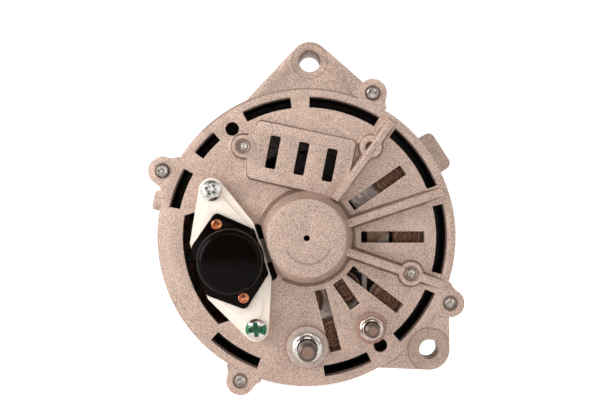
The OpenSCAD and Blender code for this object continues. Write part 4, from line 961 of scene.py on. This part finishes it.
def seal_rubber():
    return new_finish("seal rubber", (0.035, 0.018, 0.014), (0.018, 0.01, 0.008), 0.0, (0.5, 0.66),
                      grain=1300.0, relief=0.03, bump=0.3, rings=0.5)


def carbon():
    return new_finish("pressed carbon", (0.05, 0.045, 0.042), (0.02, 0.018, 0.017), 0.3, (0.4, 0.6),
                      grain=2200.0, relief=0.04, bump=0.5, edge_wear_highlight=(0.2, 0.13, 0.09))


def spring_wire():
    return new_finish("drawn spring wire", (0.56, 0.50, 0.42), (0.36, 0.31, 0.25), 1.0, (0.2, 0.34),
                      grain=1200.0, relief=0.01, bump=0.2)


def green_lacquer():
    return new_finish("green sealing lacquer", (0.006, 0.13, 0.045), (0.002, 0.06, 0.02), 0.0, (0.25, 0.5),
                      grain=1200.0, relief=0.1, bump=0.5)


# ---------------------------------------------------------------- sizes and colours

class AlternatorSizes(bpy.types.PropertyGroup):
    cast_edge: FloatProperty(
        name="Cast edge", description="Rounding of the castings' edges, in millimetres", default=0.7, min=0.1, max=1.2)
    thread_pitch_m8: FloatProperty(
        name="Output thread pitch", description="Pitch of the M8 stud, in millimetres", default=1.25, min=0.5, max=2.0)
    thread_pitch_m6: FloatProperty(
        name="Field thread pitch", description="Pitch of the M6 stud, in millimetres", default=1.0, min=0.5, max=1.5)
    wire_radius: FloatProperty(
        name="Winding wire radius", description="Radius of one stator wire, in millimetres", default=0.62, min=0.3,
        max=0.9)
    wires_deep: IntProperty(
        name="Wires deep", description="Wires along the depth of one coil end", default=4, min=1, max=6)
    spring_turns: IntProperty(name="Spring turns", description="Turns of each brush spring", default=6, min=3, max=12)
    field_wires: IntProperty(
        name="Field wires", description="Wires side by side on the field coil", default=12, min=6, max=30)


class AlternatorFinishes(bpy.types.PropertyGroup):
    cast_colour: FloatVectorProperty(
        name="Cast aluminium", description="Colour of the cast housings", subtype="COLOR", size=3,
        default=(0.585, 0.43, 0.355), min=0.0, max=1.0)
    holder_colour: FloatVectorProperty(
        name="Brush holder", description="Colour of the brush holder", subtype="COLOR", size=3,
        default=(0.97, 0.87, 0.77), min=0.0, max=1.0)
    grain_scale: FloatProperty(
        name="Grain", description="Grains of sand per metre", default=4000.0, min=200.0, max=5000.0)
    key_power: FloatProperty(
        name="Key lamp", description="Power of the lamp at the left", subtype="POWER", unit="POWER", default=3.1,
        min=0.0, max=50.0)
    fill_power: FloatProperty(
        name="Fill lamp", description="Power of the lamp above the camera", subtype="POWER", unit="POWER",
        default=0.75, min=0.0, max=50.0)


# ---------------------------------------------------------------- stage

def add_camera(scene):
    """The camera looks along the depth axis, from the photograph's place."""
    data = bpy.data.cameras.new("camera")
    data.lens = CAMERA_LENS
    data.sensor_width = 36.0
    data.clip_start = 0.01
    camera = bpy.data.objects.new("camera", data)
    camera.location = place(CAMERA_AT)
    camera.rotation_euler = (math.radians(90), 0, 0)
    scene.collection.objects.link(camera)
    scene.camera = camera


def add_lamp(scene, name, spot, size, power, tone):
    """A round soft lamp at a spot in shaft millimetres, turned to the middle of the alternator."""
    data = bpy.data.lights.new(name, "AREA")
    data.shape = "DISK"
    data.size = size
    data.energy = power
    data.color = tone
    lamp = bpy.data.objects.new(name, data)
    lamp.location = place(spot)
    lamp.rotation_euler = (Vector(place([0.0, 20.0, 0.0])) - lamp.location).to_track_quat("-Z", "Y").to_euler()
    scene.collection.objects.link(lamp)


def seen_by_eye(rays):
    """1 for what the camera sees, directly or through glass."""
    return rays["Is Camera Ray"] | rays["Is Transmission Ray"]


def add_world(scene):
    """White to the camera, plain light on matt surfaces, and a room to be mirrored in metal: pale walls to the left
    and right, a dim ceiling and a dark room behind the camera."""
    world = bpy.data.worlds.new("studio")
    scene.world = world
    world.use_nodes = True
    tree = world.node_tree
    rays = levels(tree, add_node(tree, "LightPath"))
    x, y, z = axes(tree, add_node(tree, "TexCoord").outputs["Generated"])
    sides = spread(abs(x), 0.15, 0.45, 0.3, 1.0)
    away = spread(y, -0.95, -0.7)
    ceiling = spread(z, 0.5, 0.92, 1.0, 0.28)
    shine = rays["Is Glossy Ray"] * (sides * away * ceiling + 0.11)
    plain = (1.0 - rays["Is Glossy Ray"]) * spread(z, -0.1, 0.8, 0.62, 0.28)
    back = tree.nodes["Background"].inputs
    back["Color"].default_value = (1.0, 1.0, 1.0, 1.0)
    feed(tree, back["Strength"], seen_by_eye(rays) * 1.05 | (shine + plain))


def pale_floor():
    """Matt paper that the camera sees as white, and that keeps the alternator's shadow."""
    paper = bpy.data.materials.new("pale floor")
    paper.use_nodes = True
    tree = paper.node_tree
    matt = tree.nodes["Principled BSDF"]
    matt.inputs["Base Color"].default_value = (0.82, 0.82, 0.82, 1.0)
    matt.inputs["Roughness"].default_value = 0.9
    rays = levels(tree, add_node(tree, "LightPath"))
    bright = seen_by_eye(rays) * 0.9 + rays["Is Glossy Ray"] * 0.45 + rays["Is Diffuse Ray"] * 0.4
    glow = add_node(tree, "Emission", {"Color": (1.0, 1.0, 1.0, 1.0), "Strength": bright})
    both = add_node(tree, "AddShader", {0: matt.outputs[0], 1: glow.outputs[0]})
    tree.links.new(both.outputs[0], tree.nodes["Material Output"].inputs["Surface"])
    return paper


def add_floor(scene, radius=2.5, rings=24, sides=64):
    """A round floor just under the alternator, in rings at radius r^2 that face upwards."""
    r = np.linspace(0, 1, rings)[:, None] ** 2 * radius
    a = full_turn(sides)[None, :]
    points = np.stack([r * np.cos(a), r * np.sin(a), 0 * r + 0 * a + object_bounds()[0][2] - 0.0002], -1)
    mesh = bpy.data.meshes.new("floor")
    mesh.from_pydata(points.reshape(-1, 3), [], grid_faces(rings, sides, rings=True)[:, ::-1].tolist())
    mesh.materials.append(pale_floor())
    floor = bpy.data.objects.new("floor", mesh)
    scene.collection.objects.link(floor)
    floor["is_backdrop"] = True


# ---------------------------------------------------------------- operators

class ALTERNATOR_OT_stage(bpy.types.Operator):
    """Floor, soft lamps, pale world and the camera at the photograph's place"""
    bl_idname = "alternator.stage"
    bl_label = "Stage"

    def execute(self, context):
        scene = context.scene
        look = scene.alternator_finishes
        scene.view_settings.view_transform = "Standard"
        add_camera(scene)
        add_lamp(scene, "key lamp", (-560.0, -300.0, 190.0), 0.5, look.key_power, (1.0, 0.985, 0.97))
        add_lamp(scene, "fill lamp", (40.0, -470.0, 430.0), 0.5, look.fill_power, (1.0, 0.99, 0.98))
        add_lamp(scene, "back lamp", (200.0, 520.0, 420.0), 0.6, 2.4 * look.fill_power, (1.0, 1.0, 1.0))
        add_world(scene)
        add_floor(scene)
        return {"FINISHED"}


def cast_fillets():
    """Fillets at the foot of the rear wall's raised parts, and the painted shade on each of their points."""
    fillets = []
    for angle, r0, r1, rise in RIB_FEET:
        path, x = rib_path(angle, r0, r1, 1.6)
        tall = np.clip(rib_height(x, rise), 1.8, 8.0) * 0.62
        fillets.append(skirt(path, tall, np.minimum(tall * 0.95, 2.1)))
    a = full_turn(48)
    for radius, angle, r in SCREW_BOSSES:
        x, z = polar(radius, angle)
        fillets.append(skirt(np.stack([x + r * np.cos(a), z + r * np.sin(a)], -1), 2.2, 1.5, True))
    a = np.radians(np.linspace(240, 516, 90))
    fillets.append(skirt(np.stack([BOSS_RADIUS * np.cos(a), BOSS_RADIUS * np.sin(a)], -1), 2.4, 1.7))
    fillets.append(skirt(eased(VENT_BOX, 1.9), 2.1, 1.1, True))
    # the painted shade is darkest in the middle of each fillet, exp(-((t - 0.45) / 0.28)^2), fades towards the rim, and
    # is light in the web between the vent box and the upper rib
    band = np.exp(-((np.linspace(0, 1, SKIRT_ROWS) - 0.45) / 0.28) ** 2)
    fillet_shade = np.concatenate([np.repeat(band, len(points) // SKIRT_ROWS) for points, _ in fillets])
    x, _, z = joined(fillets)[0].T
    web = (x > 12.0) & (x < 30.0) & (z > 17.0) & (z < 47.0)
    return fillets, fillet_shade * 0.9 * np.clip((62.0 - np.hypot(x, z)) / 9.0, 0, 1) * np.where(web, 0.25, 1.0)


class ALTERNATOR_OT_housings(bpy.types.Operator):
    """Both cast housings with soft cast edges and sand grain"""
    bl_idname = "alternator.housings"
    bl_label = "Cast housings"

    def execute(self, context):
        edge = context.scene.alternator_sizes.cast_edge
        cast = cast_aluminium()
        softened("rear_casting", "rear_housing", cast, edge, 3)
        softened("front_casting", "front_housing", cast, edge)
        # the fillets' foot attribute holds painted shade
        fillets, fillet_shade = cast_fillets()
        surface_piece("cast_fillets", fillets, "rear_housing", cast, NO_SHARP_EDGES, replaces=False, foot=fillet_shade)
        crowns = [rib_crown(angle, r0, r1, 1.55, rise) for angle, r0, r1, rise in RIB_CROWNS]
        surface_piece("rib_crowns", crowns, "rear_housing", cast, NO_SHARP_EDGES, replaces=False)
        return {"FINISHED"}


def coil_ends(r0, r1, wires_deep, wire_radius, steps=26):
    """The stator's wires outside its slots, two across each of three layers and several deep. The angle runs along
    the arc, and the height above the core is a plateau that falls into the slots at both ends."""
    layer = (r1 - r0) / 3
    t = np.linspace(0, 1, steps)
    counts = (2, 3, STATOR_SLOTS // 6, 2, wires_deep)
    end, phase, k, across, deep = (q.reshape(-1, 1) for q in np.meshgrid(*map(np.arange, counts), indexing="ij"))
    seed = np.sin(12.9898 * (end + 2 * phase + 7 * k + 3 * across + 5 * deep)) * 0.5
    angle = np.radians((phase + 6 * k + 3 * end + 0.3) * 360.0 / STATOR_SLOTS + t * 34.0 + seed * 1.2)
    radius = r0 + phase * layer + layer * (0.28 + 0.44 * across) + 0.12 * np.sin(7 * t + 6 * seed)
    fall = np.abs(2 * t - 1) ** 7
    rise = (1.1 + deep * 1.22) * (1 - fall) - 1.2 * fall + 0.15 * np.sin(9 * t + 9 * seed)
    depth = np.where(end == 0, STATOR_FACES[0] - rise, STATOR_FACES[1] + rise)
    return tubes(np.stack([radius * np.cos(angle), depth, radius * np.sin(angle)], -1), wire_radius)


def slot_bars(r0, r1, half_width):
    """The windings inside the slots, one straight bar in each, a little longer than the core."""
    angles = (np.arange(STATOR_SLOTS) + 0.5)[:, None] * 360.0 / STATOR_SLOTS
    x, z = spun(np.array([r0, r1, r1, r0]), np.array([-1, -1, 1, 1]) * half_width, angles)
    ends = [np.stack([x, 0 * x + y, z], -1) for y in (STATOR_FACES[0] - 0.8, STATOR_FACES[1] + 0.8)]
    box = np.array([[0, 1, 5, 4], [1, 2, 6, 5], [2, 3, 7, 6], [3, 0, 4, 7], [3, 2, 1, 0], [4, 5, 6, 7]])
    faces = box[None] + (np.arange(STATOR_SLOTS) * 8)[:, None, None]
    return np.stack(ends, 1).reshape(-1, 3), faces.reshape(-1, 4)


class ALTERNATOR_OT_stator(bpy.types.Operator):
    """Laminated core and its wave winding of single wires"""
    bl_idname = "alternator.stator"
    bl_label = "Stator"

    def execute(self, context):
        size = context.scene.alternator_sizes
        dress("stator_core", laminated_steel())
        r0, r1 = 46.9, 54.7
        winding = [coil_ends(r0, r1, size.wires_deep, size.wire_radius), slot_bars(r0 + 0.1, r1 - 0.1, 1.85)]
        surface_piece("winding_wires", winding, "stator_winding", winding_enamel(), sharp=60.0)
        return {"FINISHED"}


class ALTERNATOR_OT_bolts(bpy.types.Operator):
    """Through bolts with threaded ends"""
    bl_idname = "alternator.bolts"
    bl_label = "Through bolts"

    def execute(self, context):
        softened("through_bolt_set", "through_bolts", zinc_steel(), 0.2)
        ends = [threaded_rod(polar(r, a), end - 0.3, max(end, 0.0) + 3.0, 2.52, pitch=0.8, chamfer=0.35, sides=28)
                for r, a, end in BOLT_PLACES]
        surface_piece("through_bolt_threads", ends, "through_bolts", oiled_screw_end(), sharp=40.0, replaces=False)
        return {"FINISHED"}


class ALTERNATOR_OT_rotor(bpy.types.Operator):
    """Shaft, claw poles, field coil and slip rings"""
    bl_idname = "alternator.rotor"
    bl_label = "Rotor"

    def execute(self, context):
        wires = context.scene.alternator_sizes.field_wires
        softened("shaft_turned", "rotor_shaft", shaft_steel(), 0.15)
        softened("rear_pole_piece", "rear_claw_pole", forged_steel(), 0.6)
        softened("front_pole_piece", "front_claw_pole", forged_steel(), 0.6)
        dress("coil_bobbin", bobbin_nylon())
        dress("slip_ring_carrier", dark_moulding())
        softened("slip_ring_pair", "slip_rings", turned_copper(), 0.15)
        # the coil's outer surface is a row of half-round wires, radius R - w (1 - sqrt |sin|)
        start, end = FIELD_COIL
        inner, outer, bulge = 20.3, 33.95, 0.45
        y = np.linspace(start, end, wires * 8 + 1)
        wave = np.abs(np.sin(np.pi * (y - start) / (end - start) * wires)) ** 0.5
        rows = np.stack([outer - bulge * (1 - wave), y], 1)
        profile = np.concatenate([[[inner, start]], rows, [[inner, end]], [[inner, start]]])
        surface_piece("field_wires", [lathe(profile, SHAFT, 120)], "field_coil", winding_enamel(), sharp=60.0)
        return {"FINISHED"}


class ALTERNATOR_OT_bearings(bpy.types.Operator):
    """Races, balls, cages, seals and the front bearing's retainer"""
    bl_idname = "alternator.bearings"
    bl_label = "Bearings"

    def execute(self, context):
        for end in ("rear", "front"):
            for piece in ("outer_race", "inner_race", "balls"):
                dress(f"{end}_bearing_{piece}", bearing_steel())
            dress(f"{end}_bearing_cage", cage_brass())
        dress("bearing_seals", seal_rubber())
        softened("retainer_plate", "bearing_retainer", zinc_steel(), 0.25)
        softened("retainer_screw_set", "retainer_screws", zinc_steel(), 0.25)
        return {"FINISHED"}


class ALTERNATOR_OT_drive(bpy.types.Operator):
    """Collar, fan, pulley, key, washer and nut"""
    bl_idname = "alternator.drive"
    bl_label = "Fan and pulley"

    def execute(self, context):
        softened("collar_turned", "spacer_collar", shaft_steel(), 0.2)
        softened("fan_pressed", "cooling_fan", fan_paint(), 0.35)
        softened("pulley_turned", "drive_pulley", pulley_steel(), 0.35)
        dress("woodruff_key", shaft_steel())
        softened("pulley_washer_turned", "pulley_washer", zinc_steel(), 0.2)
        softened("pulley_nut_turned", "pulley_nut", bright_steel(), 0.2)
        # the thread is made with its free end at the rear and then mirrored in depth
        points, faces = threaded_rod(SHAFT, -127.1, -117.0, 8.02, pitch=1.5, chamfer=1.2, sides=56)
        thread = points * np.array([1.0, -1.0, 1.0]), faces
        surface_piece("shaft_thread", [thread], "rotor_shaft", shaft_steel(), sharp=40.0, replaces=False)
        return {"FINISHED"}


class ALTERNATOR_OT_rectifier(bpy.types.Operator):
    """Heat sinks, diodes, bus strip, connector frame and screws"""
    bl_idname = "alternator.rectifier"
    bl_label = "Rectifier"

    def execute(self, context):
        for sign in ("negative", "positive"):
            softened(f"{sign}_sink_plate", f"{sign}_heat_sink", sink_plate(), 0.35)
            dress(f"{sign}_diodes", diode_lacquer())
        dress("exciter_diodes", dark_moulding())
        dress("exciter_bus", bus_brass())
        softened("connector_moulding", "connector_frame", dark_moulding(), 0.25)
        softened("rectifier_screw_set", "rectifier_screws", zinc_steel(), 0.2)
        ends = [threaded_rod(polar(r, a), end - 0.3, 1.0, 2.02, pitch=0.7, chamfer=0.3, sides=28)
                for r, a, end in RECTIFIER_PLACES]
        oiled = oiled_screw_end()
        surface_piece("rectifier_screw_threads", ends, "rectifier_screws", oiled, sharp=40.0, replaces=False)
        return {"FINISHED"}


class ALTERNATOR_OT_terminals(bpy.types.Operator):
    """Threaded terminal studs with their nuts, washers and insulators"""
    bl_idname = "alternator.terminals"
    bl_label = "Terminals"

    def execute(self, context):
        size = context.scene.alternator_sizes
        brass = stud_brass()
        dress("output_stud", brass)
        dress("field_stud", brass)
        output = threaded_rod(OUTPUT_POS, -21.48, -8.0, 4.02, size.thread_pitch_m8, chamfer=1.2, sides=48)
        field = threaded_rod(FIELD_POS, -14.62, -6.2, 3.02, size.thread_pitch_m6, chamfer=0.65, sides=40)
        surface_piece("output_thread", [output], "output_stud", brass, sharp=40.0, replaces=False)
        surface_piece("field_thread", [field], "field_stud", brass, sharp=40.0, replaces=False)
        output, field = flange_nut(OUTPUT_POS, **OUTPUT_NUT), flange_nut(FIELD_POS, **FIELD_NUT)
        surface_piece("output_nut_turned", [output], "output_nut", bright_steel(), sharp=30.0)
        surface_piece("field_nut_turned", [field], "field_nut", yellowed_steel(), sharp=30.0)
        softened("output_washer_pressed", "output_washer", washer_steel(), 0.3)
        softened("output_bush", "output_insulator", pink_fibre(), 0.25)
        softened("field_bush", "field_insulator", pink_fibre(), 0.3)
        return {"FINISHED"}


class ALTERNATOR_OT_regulator(bpy.types.Operator):
    """Brush holder with the regulator, its rivets and screws"""
    bl_idname = "alternator.regulator"
    bl_label = "Regulator"

    def execute(self, context):
        softened("holder_moulded", "brush_holder", ivory_moulding(), 0.6, 3)
        softened("regulator_base", "regulator_plate", black_moulding(), 0.35)
        softened("regulator_lid", "regulator_cap", black_moulding(), 0.3, 3)
        # upset rivet: a low collar round a dished middle
        upset = [[0.0, -7.9], [0.75, -7.95], [1.1, -8.35], [1.45, -8.72], [1.85, -8.8], [2.25, -8.55], [2.42, -8.0],
                 [2.4, -7.49], [0.0, -7.49]]
        heads = [lathe(upset, regulator_point(*spot), 48) for spot in RIVETS]
        surface_piece("rivet_heads", heads, "regulator_rivets", rivet_copper(), sharp=50.0, replaces=False)
        dress("regulator_rivets", rivet_copper())
        screws = [recessed_head(regulator_point(*spot), -5.5, 4.48, 2.95, turn)
                  for spot, turn in ((UPPER_SCREW, 28.0), (LOWER_SCREW, -6.0))]
        surface_piece("regulator_screw_heads", screws, "regulator_screws", screw_head_steel(), sharp=50.0)
        # sealing lacquer lies in the recess of the lower screw
        drop = [[0.0, -7.05], [2.2, -7.05], [2.9, -6.95], [2.9, -6.6], [0.0, -6.6]]
        lacquer = lathe(drop, regulator_point(*LOWER_SCREW), 32)
        surface_piece("screw_lacquer", [lacquer], "regulator_screws", green_lacquer(), sharp=50.0, replaces=False)
        return {"FINISHED"}


class ALTERNATOR_OT_brushes(bpy.types.Operator):
    """Brushes and the springs that press them on the slip rings"""
    bl_idname = "alternator.brushes"
    bl_label = "Brushes"

    def execute(self, context):
        turns = context.scene.alternator_sizes.spring_turns
        softened("rear_brush_block", "rear_brush", carbon(), 0.25)
        softened("front_brush_block", "front_brush", carbon(), 0.25)
        x, z = polar(-1.0, REGULATOR_ANGLE)
        outward, across, inward = np.array([x, 0.0, z]), np.array([z, 0.0, -x]), np.array([0.0, 1.0, 0.0])
        start, end = 28.55, 36.35
        t = np.linspace(0, 1, turns * 20)[:, None]
        for side, depth in (("rear", 7.3), ("front", 13.2)):
            # a helix along the brush's line, from the brush to the holder's end wall
            line = outward * (start + (end - start) * t) + depth * inward
            spring = coil(line, across, inward, 1.8, 0.25, turns)
            piece = surface_piece(f"{side}_spring_coil", [spring], f"{side}_brush_spring", spring_wire(), sharp=60.0)
            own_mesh(piece)
        return {"FINISHED"}


class ALTERNATOR_PT_panel(bpy.types.Panel):
    """Lists the pieces and their sizes"""
    bl_idname = "ALTERNATOR_PT_panel"
    bl_label = "Alternator"
    bl_space_type = "VIEW_3D"
    bl_region_type = "UI"
    bl_category = "Alternator"

    def draw(self, context):
        layout = self.layout
        for owner in (context.scene.alternator_sizes, context.scene.alternator_finishes):
            for name in owner.__annotations__:
                layout.prop(owner, name)
        for operator in OPERATORS:
            layout.operator(operator.bl_idname)


OPERATORS = (ALTERNATOR_OT_stage, ALTERNATOR_OT_housings, ALTERNATOR_OT_stator, ALTERNATOR_OT_bolts,
             ALTERNATOR_OT_rotor, ALTERNATOR_OT_bearings, ALTERNATOR_OT_drive, ALTERNATOR_OT_rectifier,
             ALTERNATOR_OT_terminals, ALTERNATOR_OT_regulator, ALTERNATOR_OT_brushes)
CLASSES = (AlternatorSizes, AlternatorFinishes, *OPERATORS, ALTERNATOR_PT_panel)


def register():
    for cls in CLASSES:
        bpy.utils.register_class(cls)
    bpy.types.Scene.alternator_sizes = PointerProperty(type=AlternatorSizes)
    bpy.types.Scene.alternator_finishes = PointerProperty(type=AlternatorFinishes)


def unregister():
    del bpy.types.Scene.alternator_finishes
    del bpy.types.Scene.alternator_sizes
    for cls in reversed(CLASSES):
        bpy.utils.unregister_class(cls)


def main():
    register()
    bpy.ops.alternator.stage()
    bpy.ops.alternator.housings()
    bpy.ops.alternator.stator()
    bpy.ops.alternator.bolts()
    bpy.ops.alternator.rotor()
    bpy.ops.alternator.bearings()
    bpy.ops.alternator.drive()
    bpy.ops.alternator.rectifier()
    bpy.ops.alternator.terminals()
    bpy.ops.alternator.regulator()
    bpy.ops.alternator.brushes()


if __name__ == "__main__":
    main()
